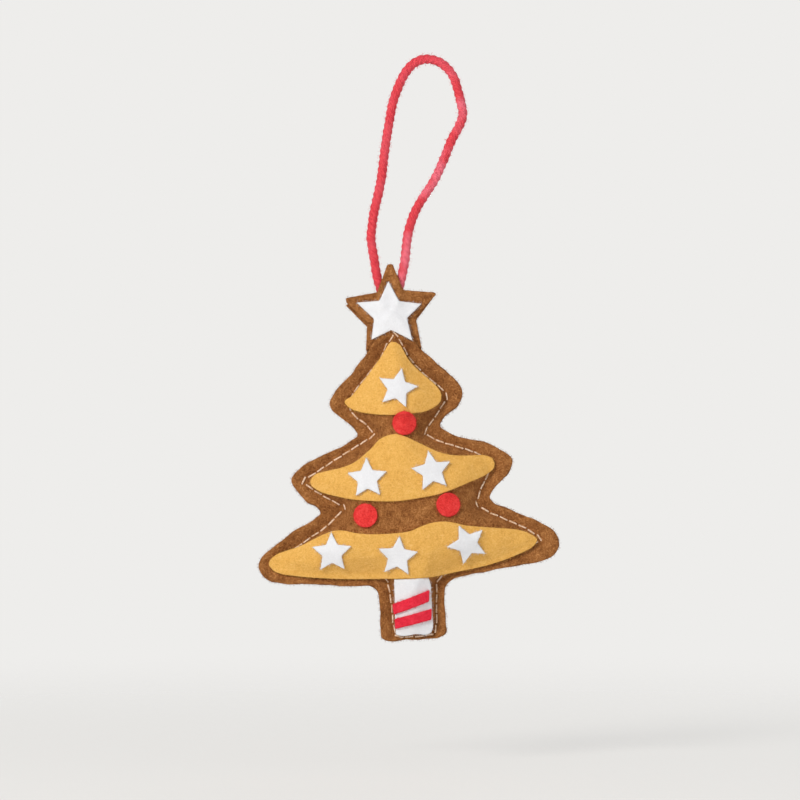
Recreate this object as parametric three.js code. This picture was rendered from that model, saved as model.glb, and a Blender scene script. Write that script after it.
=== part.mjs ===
// A hanging ornament: a stuffed tree sewn from two brown felt panels, with gold felt tiers, white felt
// stars, red dots, a striped patch on the trunk, a two-layer star at the top and a loop of red yarn.
// Lengths are in millimetres. +Z is up, the front faces -Y, and the origin is the underside of the
// loop's top, where it bears on whatever the ornament hangs from.

import * as THREE from "three";
import { ConvexHull } from "three/addons/math/ConvexHull.js";

// Driving sizes of the tree.
const TREE_HALF_WIDTH = 50.2; // from the tree's middle line to its lowest corner
const TREE_DROP = 109.5; // from the middle of the topper star down to the foot of the trunk
const CROWN = 7.6; // how far the filling domes each panel
const CROWN_REACH = 10; // how deep inside the seam a panel is fully domed
const RIM_FLARE = 0.3; // how far the raw edge of each panel stands off the middle plane
const FILLING_INSET = 2.2; // the filling stops this far in from the seam
const PANEL_CLOSING = 9; // the panels come together over this length below the topper's legs
const HANG_TILT = THREE.MathUtils.degToRad(4.2); // the tree hangs with its top to the left

// Felts, thread and the clearance between pieces that lie on each other.
const PANEL_FELT = 1.5;
const TOPPER_FELT = 1.5;
const TIER_FELT = 1.2;
const DOT_FELT = 1.2;
const STAR_FELT = 1;
const PATCH_FELT = 1;
const STRIPE_FELT = 1;
const THREAD = 0.55;
const STITCH_PITCH = 3.4;
const STITCH_RISE = 0.2; // how far the middle of a stitch stands above its two needle holes
const GAP = 0.3;
const STACK_GAP = 0.4; // between pieces that bend in different creases

// Stars, dots and the trunk's trim.
const TOPPER_RADIUS = 15.9;
const TOPPER_BACK_DROP = 1.6; // the back layer of the topper is sewn in this much lower
const YARN_DOME_REACH = 3.6; // how far from the yarn's ends the topper's layers are domed
const WHITE_TOPPER_RADIUS = 11.1;
const SMALL_STAR_RADIUS = 6.9;
const DOT_RADIUS = 4;
const PATCH_WIDTH = 12.9;
const PATCH_HEIGHT = 18.2;
const PATCH_GAP = 0.4; // between the bottom tier and the patch

// The yarn.
const YARN = 3.2;
const SWING_DROP = 64.7; // from the origin down to the level where the yarn flexes above the topper
const TOPPER_DROP = 82.5; // from the origin down to the middle of the topper star
const TOPPER_ASIDE = 11.1; // the topper's middle lies this far left of the origin

// How finely the felt is meshed: the panels and tiers, and the small trim.
const FELT_MESH = 3.9;
const TRIM_MESH = 2.1;

const TAU = 2 * Math.PI;

// Outlines are closed lists of points seen from the front: x to the right and y up, about the topper's
// middle. Each is cut by hand, and is given as smooth stretches that meet in sharp corners. The points are
// shares of TREE_HALF_WIDTH to the right and of TREE_DROP downwards, from the top of the tree to the
// trunk's foot.
const TREE_SHARES = [
  [[0, 0.003], [0.044, 0.023], [0.182, 0.125], [0.245, 0.155], [0.327, 0.194], [0.391, 0.221],
    [0.42, 0.247], [0.423, 0.272], [0.399, 0.299], [0.334, 0.319], [0.283, 0.339], [0.261, 0.358]],
  [[0.261, 0.358], [0.311, 0.38], [0.41, 0.399], [0.51, 0.412], [0.599, 0.428], [0.663, 0.449],
    [0.709, 0.463], [0.726, 0.479], [0.716, 0.501], [0.678, 0.524], [0.592, 0.559], [0.553, 0.586]],
  [[0.553, 0.586], [0.571, 0.601], [0.702, 0.631], [0.853, 0.667], [0.963, 0.702], [0.993, 0.725],
    [0.997, 0.744], [0.972, 0.767], [0.916, 0.784], [0.847, 0.791], [0.743, 0.797], [0.606, 0.804],
    [0.401, 0.814], [0.298, 0.823], [0.242, 0.837], [0.215, 0.855], [0.206, 0.902], [0.207, 0.941],
    [0.203, 0.989]],
  [[0.203, 0.989], [0.19, 0.997], [0.057, 1.001], [-0.049, 0.998], [-0.202, 0.999], [-0.228, 0.988]],
  [[-0.228, 0.988], [-0.225, 0.946], [-0.219, 0.907], [-0.225, 0.855], [-0.242, 0.839],
    [-0.28, 0.828], [-0.396, 0.824], [-0.598, 0.813], [-0.732, 0.807], [-0.867, 0.799],
    [-0.934, 0.791], [-0.993, 0.767], [-1.007, 0.742], [-0.993, 0.727], [-0.94, 0.703],
    [-0.847, 0.675], [-0.74, 0.641], [-0.635, 0.62], [-0.564, 0.597]],
  [[-0.564, 0.597], [-0.587, 0.578], [-0.652, 0.56], [-0.69, 0.54], [-0.732, 0.511], [-0.743, 0.49],
    [-0.73, 0.477], [-0.697, 0.462], [-0.634, 0.443], [-0.51, 0.418], [-0.441, 0.408],
    [-0.371, 0.395], [-0.284, 0.369]],
  [[-0.284, 0.369], [-0.296, 0.351], [-0.391, 0.31], [-0.435, 0.29], [-0.452, 0.267],
    [-0.439, 0.249], [-0.398, 0.226], [-0.343, 0.198], [-0.281, 0.174], [-0.244, 0.153],
    [-0.186, 0.124], [-0.044, 0.023], [0, 0.003]],
];
const SEAM_SHARES = [
  [[0.003, 0.062], [0.044, 0.094], [0.097, 0.146], [0.193, 0.202], [0.298, 0.249], [0.324, 0.272]],
  [[0.324, 0.272], [0.298, 0.29], [0.238, 0.328], [0.186, 0.357], [0.158, 0.378]],
  [[0.158, 0.378], [0.239, 0.401], [0.372, 0.426], [0.493, 0.449], [0.588, 0.482]],
  [[0.588, 0.482], [0.55, 0.52], [0.503, 0.559], [0.467, 0.604]],
  [[0.467, 0.604], [0.553, 0.632], [0.683, 0.663], [0.788, 0.69], [0.877, 0.724]],
  [[0.877, 0.724], [0.8, 0.742], [0.697, 0.758], [0.557, 0.775], [0.42, 0.786], [0.29, 0.797],
    [0.197, 0.817], [0.169, 0.832], [0.162, 0.857], [0.153, 0.9], [0.147, 0.945], [0.129, 0.986]],
  [[0.129, 0.986], [0.05, 0.991], [-0.048, 0.99], [-0.129, 0.985]],
  [[-0.129, 0.985], [-0.141, 0.939], [-0.142, 0.902], [-0.148, 0.86], [-0.156, 0.83],
    [-0.185, 0.8], [-0.39, 0.789], [-0.59, 0.778], [-0.745, 0.765], [-0.893, 0.738]],
  [[-0.893, 0.738], [-0.82, 0.712], [-0.72, 0.689], [-0.649, 0.669], [-0.528, 0.635],
    [-0.434, 0.597], [-0.404, 0.583]],
  [[-0.404, 0.583], [-0.489, 0.56], [-0.599, 0.525], [-0.672, 0.497]],
  [[-0.672, 0.497], [-0.641, 0.488], [-0.485, 0.448], [-0.329, 0.409], [-0.205, 0.379],
    [-0.173, 0.369]],
  [[-0.173, 0.369], [-0.226, 0.337], [-0.308, 0.3], [-0.326, 0.27]],
  [[-0.326, 0.27], [-0.291, 0.239], [-0.21, 0.198], [-0.136, 0.16], [-0.099, 0.142],
    [-0.037, 0.091], [-0.006, 0.079], [0.003, 0.062]],
];
const TIER_SHARES = {
  tier_top: [
    [[-0.017, 0.092], [-0.037, 0.098], [-0.084, 0.13], [-0.128, 0.154], [-0.173, 0.18],
      [-0.247, 0.218], [-0.299, 0.245], [-0.356, 0.263]],
    [[-0.356, 0.263], [-0.339, 0.277], [-0.3, 0.291], [-0.22, 0.303], [-0.12, 0.311],
      [-0.018, 0.315], [0.083, 0.315], [0.186, 0.311], [0.242, 0.3], [0.286, 0.283],
      [0.293, 0.258], [0.266, 0.235], [0.203, 0.205], [0.14, 0.175], [0.096, 0.15], [0.055, 0.113],
      [0.011, 0.09], [-0.017, 0.092]],
  ],
  tier_middle: [
    [[-0.034, 0.372], [-0.082, 0.374], [-0.149, 0.387], [-0.193, 0.407], [-0.24, 0.424],
      [-0.29, 0.441], [-0.371, 0.458], [-0.474, 0.467], [-0.578, 0.476], [-0.613, 0.487],
      [-0.622, 0.499], [-0.604, 0.515], [-0.553, 0.532], [-0.453, 0.548], [-0.353, 0.56],
      [-0.219, 0.569], [-0.06, 0.575], [0.1, 0.57], [0.238, 0.562], [0.348, 0.547], [0.446, 0.532],
      [0.544, 0.516], [0.587, 0.502], [0.613, 0.488], [0.605, 0.475], [0.573, 0.461], [0.526, 0.455],
      [0.459, 0.454], [0.368, 0.451], [0.267, 0.441], [0.201, 0.426], [0.136, 0.409],
      [0.071, 0.392], [0.013, 0.378], [-0.034, 0.372]],
  ],
  tier_bottom: [
    [[-0.935, 0.736], [-0.927, 0.75], [-0.875, 0.768], [-0.762, 0.781], [-0.594, 0.793],
      [-0.392, 0.803], [-0.155, 0.809], [-0.04, 0.811], [0.062, 0.813], [0.164, 0.812],
      [0.301, 0.804], [0.438, 0.796], [0.576, 0.784], [0.714, 0.765], [0.813, 0.746],
      [0.853, 0.729], [0.844, 0.718], [0.793, 0.701], [0.727, 0.689], [0.626, 0.681],
      [0.492, 0.672], [0.371, 0.662], [0.291, 0.65], [0.224, 0.646], [0.156, 0.648],
      [0.052, 0.662], [0.015, 0.668], [-0.099, 0.671], [-0.235, 0.669], [-0.336, 0.663],
      [-0.402, 0.654], [-0.487, 0.651], [-0.574, 0.663], [-0.644, 0.676], [-0.727, 0.692],
      [-0.831, 0.704], [-0.901, 0.717], [-0.935, 0.736]],
  ],
};
const TIER_FOOT_SHARE = 0.813; // the bottom tier's lower edge above the trunk, as a share of TREE_DROP

// Each small star's tier, its middle in the same shares, and its turn in degrees.
const SMALL_STARS = {
  star_top_tier: { tier: "tier_top", share: [0.002, 0.235], turn: -16 },
  star_middle_left: { tier: "tier_middle", share: [-0.241, 0.5], turn: -1.5 },
  star_middle_right: { tier: "tier_middle", share: [0.187, 0.492], turn: 5.5 },
  star_bottom_left: { tier: "tier_bottom", share: [-0.51, 0.717], turn: -2.5 },
  star_bottom_centre: { tier: "tier_bottom", share: [-0.078, 0.742], turn: -8.7 },
  star_bottom_right: { tier: "tier_bottom", share: [0.386, 0.72], turn: 21 },
};
const DOT_SHARES = {
  dot_upper: [0.03, 0.341],
  dot_lower_left: [-0.271, 0.611],
  dot_lower_right: [0.279, 0.597],
};

// The topper's stars are cut by hand too. Their corners are shares of their radius, to the right and
// upwards from the topper's middle.
const TOPPER_FRONT_SHARES = [
  [0.09, 0.99], [-0.02, 0.99], [-0.27, 0.42], [-0.94, 0.35], [-0.93, 0.25], [-0.53, -0.19],
  [-0.6, -0.79], [-0.04, -0.53], [0.57, -0.82], [0.49, -0.15], [0.96, 0.29], [0.93, 0.33], [0.27, 0.43],
];
const TOPPER_BACK_SHARES = [
  [0.02, 0.98], [-0.28, 0.42], [-0.96, 0.31], [-0.53, -0.2], [-0.59, -0.8],
  [-0.03, -0.53], [0.57, -0.81], [0.5, -0.12], [0.9, 0.34], [0.27, 0.43],
];
const TOPPER_WHITE_SHARES = [
  [-0.03, 0.91], [-0.34, 0.34], [-1.03, 0.34], [-0.54, -0.19], [-0.67, -0.81],
  [-0.05, -0.56], [0.56, -0.93], [0.44, -0.24], [0.91, 0.16], [0.24, 0.29],
];

// The patch's outline and the stripes across it, in shares of the patch's width and height from its top
// left corner.
const PATCH_SHARES = [
  [[0.053, -0.012], [0.5, 0.002], [0.93, 0]],
  [[0.93, 0], [1, 0.04], [1.02, 0.15], [1.01, 0.5], [0.995, 0.93], [0.955, 0.99], [0.858, 1.03],
    [0.695, 1.02], [0.55, 0.99], [0.384, 1.015], [0.074, 1.01], [0, 0.99]],
  [[0, 0.99], [0.008, 0.7], [0.035, 0.33], [0.053, -0.012]],
];
const STRIPE_SHARES = {
  trunk_stripe_upper: [[-0.041, 0.423], [-0.014, 0.615], [0.916, 0.418], [0.94, 0.209]],
  trunk_stripe_lower: [[-0.002, 0.692], [-0.01, 0.879], [0.94, 0.753], [0.967, 0.555]],
};

const SMALL_NOTCH_SHARE = 0.48; // a small star's notches as a share of its radius
const STAR_POINTS = 5;

// Turns shares of the tree into a point.
function onTree([across, down]) {
  return new THREE.Vector2(across * TREE_HALF_WIDTH, -down * TREE_DROP);
}

// A smooth line through points, sampled evenly. Its last point is left to the next stretch.
function sampleStretch(points, spacing) {
  const curve = new THREE.CatmullRomCurve3(
    points.map((p) => new THREE.Vector3(p.x, p.y, 0)), false, "centripetal");
  const steps = Math.max(1, Math.round(curve.getLength() / spacing));
  return curve.getSpacedPoints(steps).slice(0, -1).map((p) => new THREE.Vector2(p.x, p.y));
}

function closedOutline(stretches, toPoint, spacing) {
  const outline = stretches.flatMap((stretch) => sampleStretch(stretch.map(toPoint), spacing));
  return THREE.ShapeUtils.isClockWise(outline) ? outline.reverse() : outline;
}

function topperCorners(shares, radius, drop) {
  return shares.map(([across, up]) => new THREE.Vector2(across * radius, up * radius - drop));
}

function smallStarCorners(centre, turn) {
  return Array.from({ length: 2 * STAR_POINTS }, (_, i) => {
    const reach = SMALL_STAR_RADIUS * (i % 2 ? SMALL_NOTCH_SHARE : 1);
    const angle = TAU / 4 + THREE.MathUtils.degToRad(turn) + (i * TAU) / (2 * STAR_POINTS);
    return centre.clone().add(new THREE.Vector2(reach * Math.cos(angle), reach * Math.sin(angle)));
  });
}

// Straight sides between corners, cut into even steps.
function straightOutline(corners, spacing) {
  return corners.flatMap((corner, i) =>
    sampleStretch([corner, corners[(i + 1) % corners.length]], spacing));
}

function circleOutline(centre, radius, spacing) {
  const steps = Math.round((TAU * radius) / spacing);
  return Array.from({ length: steps }, (_, i) => {
    const angle = (i * TAU) / steps;
    return centre.clone().add(new THREE.Vector2(radius * Math.cos(angle), radius * Math.sin(angle)));
  });
}

function distanceToSide(point, start, end) {
  const side = end.clone().sub(start);
  const along = THREE.MathUtils.clamp(point.clone().sub(start).dot(side) / side.lengthSq(), 0, 1);
  return point.distanceTo(start.clone().addScaledVector(side, along));
}

function isInside(outline, point) {
  let inside = false;
  outline.forEach((a, i) => {
    const b = outline[(i + 1) % outline.length];
    const crosses = a.y > point.y !== b.y > point.y;
    if (crosses && point.x < ((b.x - a.x) * (point.y - a.y)) / (b.y - a.y) + a.x) inside = !inside;
  });
  return inside;
}

function distancesTo(outline, point) {
  return outline.map((start, i) => distanceToSide(point, start, outline[(i + 1) % outline.length]));
}

// How far a point lies inside an outline, negative outside.
function depthInside(outline, point) {
  const nearest = Math.min(...distancesTo(outline, point));
  return isInside(outline, point) ? nearest : -nearest;
}

// The points of an outline moved inwards, without those that end up too near another side.
function insetOutline(outline, inset) {
  const LEAST_SHARE = 0.95;
  return outline
    .map((point, i) => {
      const before = outline[(i + outline.length - 1) % outline.length];
      const after = outline[(i + 1) % outline.length];
      const along = after.clone().sub(before).normalize();
      return point.clone().add(new THREE.Vector2(-along.y, along.x).multiplyScalar(inset));
    })
    .filter((point) => depthInside(outline, point) > LEAST_SHARE * inset);
}

// Delaunay triangles, anticlockwise: the lower hull of the points lifted onto a paraboloid. Points in a
// straight row give upright faces there, which are no triangles.
const UPRIGHT = -1e-6;
function triangulate(points) {
  const lifted = points.map((p) => new THREE.Vector3(p.x, p.y, p.lengthSq()));
  const order = new Map(lifted.map((p, i) => [p, i]));
  return new ConvexHull().setFromPoints(lifted).faces
    .filter((face) => face.normal.z < UPRIGHT)
    .map(({ edge }) => [edge.prev, edge, edge.next].map((side) => order.get(side.head().point)).reverse());
}

// Points inside an outline: those of the creases, and a lattice of even triangles between them.
function innerPoints(outline, creases, spacing) {
  const NEAR_SHARE = 0.62;
  const CREASE_SHARE = 0.35;
  const kept = creases.filter((p) => depthInside(outline, p) > CREASE_SHARE * spacing);
  const box = new THREE.Box2().setFromPoints(outline);
  const rowHeight = spacing * Math.sin(TAU / 6);
  const lattice = [];
  for (let row = Math.floor(box.min.y / rowHeight); row * rowHeight < box.max.y; row++) {
    const shift = row % 2 ? spacing / 2 : 0;
    for (let column = Math.floor(box.min.x / spacing); column * spacing < box.max.x; column++) {
      const point = new THREE.Vector2(column * spacing + shift, row * rowHeight);
      const clear = kept.every((p) => p.distanceTo(point) > NEAR_SHARE * spacing);
      if (clear && depthInside(outline, point) > NEAR_SHARE * spacing) lattice.push(point);
    }
  }
  return [...kept, ...lattice];
}

// Triangles that fill an outline. A side that they would cut across is halved until they keep to it.
function fillOutline(outline, inner) {
  const border = [...outline];
  const MOST_POINTS = 4 * outline.length;
  for (;;) {
    const points = [...border, ...inner];
    const triangles = triangulate(points).filter((corners) => {
      const middle = corners.reduce((sum, i) => sum.add(points[i]), new THREE.Vector2()).divideScalar(3);
      return isInside(border, middle);
    });
    const sides = new Set(triangles.flatMap(([a, b, c]) => [`${a},${b}`, `${b},${c}`, `${c},${a}`]));
    const cut = border.findIndex((_, i) => !sides.has(`${i},${(i + 1) % border.length}`));
    if (cut < 0 || border.length > MOST_POINTS) return { points, triangles, borderLength: border.length };
    border.splice(cut + 1, 0, border[cut].clone().lerp(border[(cut + 1) % border.length], 0.5));
  }
}

function geometryOf(vertices, triangles) {
  const geometry = new THREE.BufferGeometry().setFromPoints(vertices);
  geometry.setIndex(triangles.flat());
  geometry.computeVertexNormals();
  return geometry;
}

// A closed solid with the outline's shape: place(point, 0) gives its rear face and place(point, 1) its front.
function sheetGeometry({ outline, creases = [], spacing, place, facesBack = false }) {
  const { points, triangles, borderLength } = fillOutline(outline, innerPoints(outline, creases, spacing));
  const vertices = [...points.map((p) => place(p, 1)), ...points.map((p) => place(p, 0))];
  const rear = points.length;
  const faces = [];
  for (const [a, b, c] of triangles) faces.push([a, b, c], [rear + a, rear + c, rear + b]);
  for (let i = 0; i < borderLength; i++) {
    const j = (i + 1) % borderLength;
    faces.push([i, rear + i, rear + j], [i, rear + j, j]);
  }
  return geometryOf(vertices, facesBack ? faces.map((face) => face.toReversed()) : faces);
}

// A closed tube through rings, each a centre with a radius and the two directions that span it.
function tubeGeometry(rings, sides, isClosed) {
  const vertices = [];
  for (const { centre, radius, out, aside } of rings) {
    for (let side = 0; side < sides; side++) {
      const angle = (side * TAU) / sides;
      vertices.push(centre.clone()
        .addScaledVector(out, radius * Math.cos(angle))
        .addScaledVector(aside, radius * Math.sin(angle)));
    }
  }
  const faces = [];
  const spans = isClosed ? rings.length : rings.length - 1;
  for (let ring = 0; ring < spans; ring++) {
    const next = (ring + 1) % rings.length;
    for (let side = 0; side < sides; side++) {
      const after = (side + 1) % sides;
      const [a, b] = [ring * sides + side, ring * sides + after];
      const [c, d] = [next * sides + side, next * sides + after];
      faces.push([a, b, d], [a, d, c]);
    }
  }
  if (!isClosed) {
    const last = (rings.length - 1) * sides;
    for (let side = 1; side < sides - 1; side++) {
      faces.push([0, side + 1, side], [last, last + side, last + side + 1]);
    }
  }
  return geometryOf(vertices, faces);
}

// The tree's outlines.
const RIM_STEP_SHARE = 0.8;
const SEAM_STEP_SHARE = 0.7;
const FILLING_STEP_SHARE = 0.55;
const treeOutline = closedOutline(TREE_SHARES, onTree, RIM_STEP_SHARE * FELT_MESH);
const seam = closedOutline(SEAM_SHARES, onTree, SEAM_STEP_SHARE * FELT_MESH);
const fillingEdge = insetOutline(
  closedOutline(SEAM_SHARES, onTree, FILLING_STEP_SHARE * FELT_MESH), FILLING_INSET);

// The yarn's route, in the ornament's own frame: up from the left of the topper, over the top, and down to
// the right of it. Its two ends go down between the topper's layers.
const STUB_DROP = SWING_DROP + YARN / 2 + GAP;
const LOOP_ROUTE = [
  [-17, -SWING_DROP], [-17.6, -61.3], [-18, -57.8], [-17.8, -55.3], [-17, -49.5], [-15.7, -43.8],
  [-14.5, -37.8], [-13.8, -32], [-12.9, -25.3], [-11.8, -18.7], [-10.8, -13.2], [-9, -7.9],
  [-6.6, -3], [-3.6, 0.3], [0, YARN / 2], [4.2, 0.9], [7.6, -1.6], [9.7, -4.8], [11, -9], [12, -13],
  [12.6, -16.8], [11.6, -20.2], [8.9, -25.3], [6.2, -32], [3.1, -38.7], [-1.1, -45.3], [-3.2, -49],
  [-5.4, -55.3], [-6.2, -60.3], [-6.6, -SWING_DROP],
];
const END_ROUTES = {
  loop_end_left: [[-16.7, -STUB_DROP], [-16.4, -68.7], [-15.7, -72], [-14.8, -75], [-14, -81.2]],
  loop_end_right: [[-6.9, -STUB_DROP], [-7.3, -68.7], [-8, -72], [-8.6, -75], [-9.4, -80.4]],
};
const YARN_SIDES = 8;
const YARN_STEP = 2 * YARN;

const ornament = new THREE.Group();

// The tree is drawn upright about the middle of its topper, and hangs tilted from there.
const tree = new THREE.Group();
tree.position.set(-TOPPER_ASIDE, 0, -TOPPER_DROP);
tree.rotation.y = -HANG_TILT;
ornament.add(tree);
tree.updateMatrixWorld(true);

// A point of the ornament's frame as the tree's outlines have it.
function fromOrnament([x, z]) {
  const local = tree.worldToLocal(new THREE.Vector3(x, 0, z));
  return new THREE.Vector2(local.x, local.z);
}

// Height of the topper's layers over the middle plane: nearly flat, but domed over the yarn's ends.
const topperEnds = Object.values(END_ROUTES).map((route) => route.map(fromOrnament));
function topperHeight(point) {
  const nearest = Math.min(...topperEnds.flatMap((line) =>
    line.slice(1).map((end, i) => distanceToSide(point, line[i], end))));
  return GAP / 2 + (YARN / 2 + GAP) * Math.exp(-((nearest / YARN_DOME_REACH) ** 2));
}

// The panels close over the topper's legs at the top of the tree, and come together below them.
const LEG_TIP_DROP = TOPPER_RADIUS * Math.cos(TAU / (2 * STAR_POINTS)) + TOPPER_BACK_DROP;
function overTopper(point) {
  const above = THREE.MathUtils.smoothstep(point.y + LEG_TIP_DROP, -PANEL_CLOSING, 0);
  return above * (topperHeight(point) + TOPPER_FELT + GAP);
}

// How deep a point lies between all sides of the seam: its distance close beside one side, and smoothly less
// than that between two. It is two over the sum of one over the distance, taken over all directions.
function depthWithinSeam(point) {
  const spokes = seam.map((corner) => corner.clone().sub(point));
  const closeness = spokes.reduce((sum, spoke, i) => {
    const next = spokes[(i + 1) % spokes.length];
    const angle = Math.atan2(spoke.cross(next), spoke.dot(next));
    return sum + (1 / spoke.length() + 1 / next.length()) * Math.tan(angle / 2);
  }, 0);
  return 2 / closeness;
}

// Height of a panel's inner face over the middle plane. The seam draws it in.
const ON_SEAM = THREAD / 20;
function panelHeight(point) {
  const rise = overTopper(point) + GAP / 2;
  const nearest = Math.min(...distancesTo(seam, point));
  if (!isInside(seam, point)) return rise + RIM_FLARE * THREE.MathUtils.smoothstep(nearest, 0, FELT_MESH);
  const depth = nearest > ON_SEAM ? depthWithinSeam(point) : 0;
  return rise + CROWN * Math.sin((TAU / 4) * Math.min(depth / CROWN_REACH, 1));
}

// A point straight in front of a surface, so that an outline keeps its shape seen from the front. The
// offset is measured square to the surface.
const SLOPE_STEP = THREAD / 2;
function inFrontOf(height, point, offset) {
  const heightAt = (dx, dy) => height(new THREE.Vector2(point.x + dx, point.y + dy));
  const alongX = (heightAt(SLOPE_STEP, 0) - heightAt(-SLOPE_STEP, 0)) / (2 * SLOPE_STEP);
  const alongZ = (heightAt(0, SLOPE_STEP) - heightAt(0, -SLOPE_STEP)) / (2 * SLOPE_STEP);
  return new THREE.Vector3(point.x, -height(point) - offset * Math.hypot(1, alongX, alongZ), point.y);
}

function mirrorToBack(point) {
  return point.multiply(new THREE.Vector3(1, -1, 1));
}

// Trim is stiffer than the panel under it, so it bridges the thread and the panel's hollows: it is lifted by
// as much as the panel around a point differs from the panel there.
const THREAD_SPACE = THREAD + STITCH_RISE + STACK_GAP;
const THREAD_BRIDGE = 2.4;
const HOLLOW_REACH = 3;
const HOLLOW_DIRECTIONS = 6;
const HOLLOW_LIFT_SHARE = 0.8;
function hollowLift(point) {
  const around = Array.from({ length: HOLLOW_DIRECTIONS }, (_, i) => {
    const angle = (i * TAU) / HOLLOW_DIRECTIONS;
    return panelHeight(new THREE.Vector2(Math.cos(angle), Math.sin(angle))
      .multiplyScalar(HOLLOW_REACH).add(point));
  });
  const level = around.reduce((sum, height) => sum + height, 0) / HOLLOW_DIRECTIONS;
  return HOLLOW_LIFT_SHARE * Math.abs(level - panelHeight(point));
}
function seatOnPanel(point) {
  const nearest = Math.min(...distancesTo(seam, point));
  const overThread = THREAD_SPACE * Math.exp(-((nearest / THREAD_BRIDGE) ** 2));
  return PANEL_FELT + GAP + overThread + hollowLift(point);
}
function seatOnTrim(point, lowerFelt) {
  return seatOnPanel(point) + lowerFelt + STACK_GAP + hollowLift(point);
}

// Trim that laps over another piece's edge is lifted by it, from a little way outside that edge.
const DRAPE_MARGIN = 1.6;
const DRAPE_REACH = 3.2;
function lappingShare(lowerOutline, point) {
  return THREE.MathUtils.smoothstep(
    depthInside(lowerOutline, point), -(DRAPE_MARGIN + DRAPE_REACH), -DRAPE_MARGIN);
}

const FELT_ROUGHNESS = 0.95;
const BROWN = new THREE.MeshStandardMaterial({ color: 0x8a5527, roughness: FELT_ROUGHNESS, metalness: 0 });
const GOLD = new THREE.MeshStandardMaterial({ color: 0xe0ad58, roughness: FELT_ROUGHNESS, metalness: 0 });
const WHITE = new THREE.MeshStandardMaterial({ color: 0xeeeef0, roughness: FELT_ROUGHNESS, metalness: 0 });
const RED = new THREE.MeshStandardMaterial({ color: 0xd92f35, roughness: FELT_ROUGHNESS, metalness: 0 });
const CREAM = new THREE.MeshStandardMaterial({ color: 0xf4e2c4, roughness: 0.6, metalness: 0 });
const YARN_RED = new THREE.MeshStandardMaterial({ color: 0xdc3550, roughness: 0.8, metalness: 0 });
const FILLING = new THREE.MeshStandardMaterial({ color: 0xf2f0ea, roughness: 1, metalness: 0 });

function addPiece(parent, name, geometry, material) {
  const mesh = new THREE.Mesh(geometry, material);
  mesh.name = name;
  parent.add(mesh);
}

// The two brown panels, alike and back to back. Their mesh follows the seam and the filling's edge.
const creases = [...seam, ...fillingEdge];
function addPanels() {
  const place = (point, share) => inFrontOf(panelHeight, point, share * PANEL_FELT);
  const panel = { outline: treeOutline, creases, spacing: FELT_MESH };
  addPiece(tree, "tree_front", sheetGeometry({ ...panel, place }), BROWN);
  addPiece(tree, "tree_back", sheetGeometry({
    ...panel,
    place: (point, share) => mirrorToBack(place(point, share)),
    facesBack: true,
  }), BROWN);
}

// The filling: it reaches almost to the seam, and up to the tips of the topper's legs.
function addStuffing() {
  const top = -LEG_TIP_DROP - GAP;
  const outline = fillingEdge.filter((point) => point.y < top);
  const place = (point, share) =>
    new THREE.Vector3(point.x, (1 - 2 * share) * (panelHeight(point) - GAP), point.y);
  addPiece(tree, "stuffing", sheetGeometry({ outline, spacing: FELT_MESH, place }), FILLING);
}

// The seam's two threads, one on each face: a closed line of stitches that dips at each needle hole.
const THREAD_SIDES = 4;
function addSeamThreads() {
  const line = closedOutline(SEAM_SHARES, onTree, STITCH_PITCH / 2);
  const centres = line.map((point, i) => inFrontOf(
    panelHeight, point, PANEL_FELT + STACK_GAP + THREAD / 2 + (i % 2 ? STITCH_RISE : 0)));
  const rings = centres.map((centre, i) => {
    const before = centres[(i + centres.length - 1) % centres.length];
    const after = centres[(i + 1) % centres.length];
    const along = after.clone().sub(before).normalize();
    const aside = new THREE.Vector3().crossVectors(along, new THREE.Vector3(0, -1, 0)).normalize();
    const out = new THREE.Vector3().crossVectors(aside, along);
    return { centre, radius: THREAD / 2, out, aside };
  });
  addPiece(tree, "seam_thread_front", tubeGeometry(rings, THREAD_SIDES, true), CREAM);
  const backRings = rings.toReversed().map(({ centre, radius, out, aside }) => ({
    centre: mirrorToBack(centre.clone()),
    radius,
    out: mirrorToBack(out.clone()),
    aside: mirrorToBack(aside.clone()),
  }));
  addPiece(tree, "seam_thread_back", tubeGeometry(backRings, THREAD_SIDES, true), CREAM);
}

// The topper: two brown stars with the yarn's ends between them, and a white star glued on the front one and
// over the top of the tree.
function addTopper() {
  const place = (point, share) => inFrontOf(topperHeight, point, share * TOPPER_FELT);
  const frontCorners = topperCorners(TOPPER_FRONT_SHARES, TOPPER_RADIUS, 0);
  const backCorners = topperCorners(TOPPER_BACK_SHARES, TOPPER_RADIUS, TOPPER_BACK_DROP);
  addPiece(tree, "star_front", sheetGeometry({
    outline: straightOutline(frontCorners, TRIM_MESH), spacing: TRIM_MESH, place,
  }), BROWN);
  addPiece(tree, "star_back", sheetGeometry({
    outline: straightOutline(backCorners, TRIM_MESH),
    spacing: TRIM_MESH,
    place: (point, share) => mirrorToBack(place(point, share)),
    facesBack: true,
  }), BROWN);

  const whiteCorners = topperCorners(TOPPER_WHITE_SHARES, WHITE_TOPPER_RADIUS, 0);
  const seat = (point) => {
    const onTopper = TOPPER_FELT + GAP;
    const overPanel = panelHeight(point) - topperHeight(point) + seatOnPanel(point);
    return THREE.MathUtils.lerp(onTopper, Math.max(onTopper, overPanel), lappingShare(treeOutline, point));
  };
  addPiece(tree, "star_white", sheetGeometry({
    outline: straightOutline(whiteCorners, TRIM_MESH),
    spacing: TRIM_MESH,
    place: (point, share) => inFrontOf(topperHeight, point, seat(point) + share * STAR_FELT),
  }), WHITE);
}

// Felt glued on the front panel, seated at the height that its seat gives. Its mesh also follows the given
// marks: its own middle, and the outlines and middles of the pieces that lie on it.
function addTrim(name, { outline, seat, felt, material, marks = [] }) {
  addPiece(tree, name, sheetGeometry({
    outline,
    creases: [...creases, ...marks],
    spacing: FELT_MESH,
    place: (point, share) => inFrontOf(panelHeight, point, seat(point) + share * felt),
  }), material);
}

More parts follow.
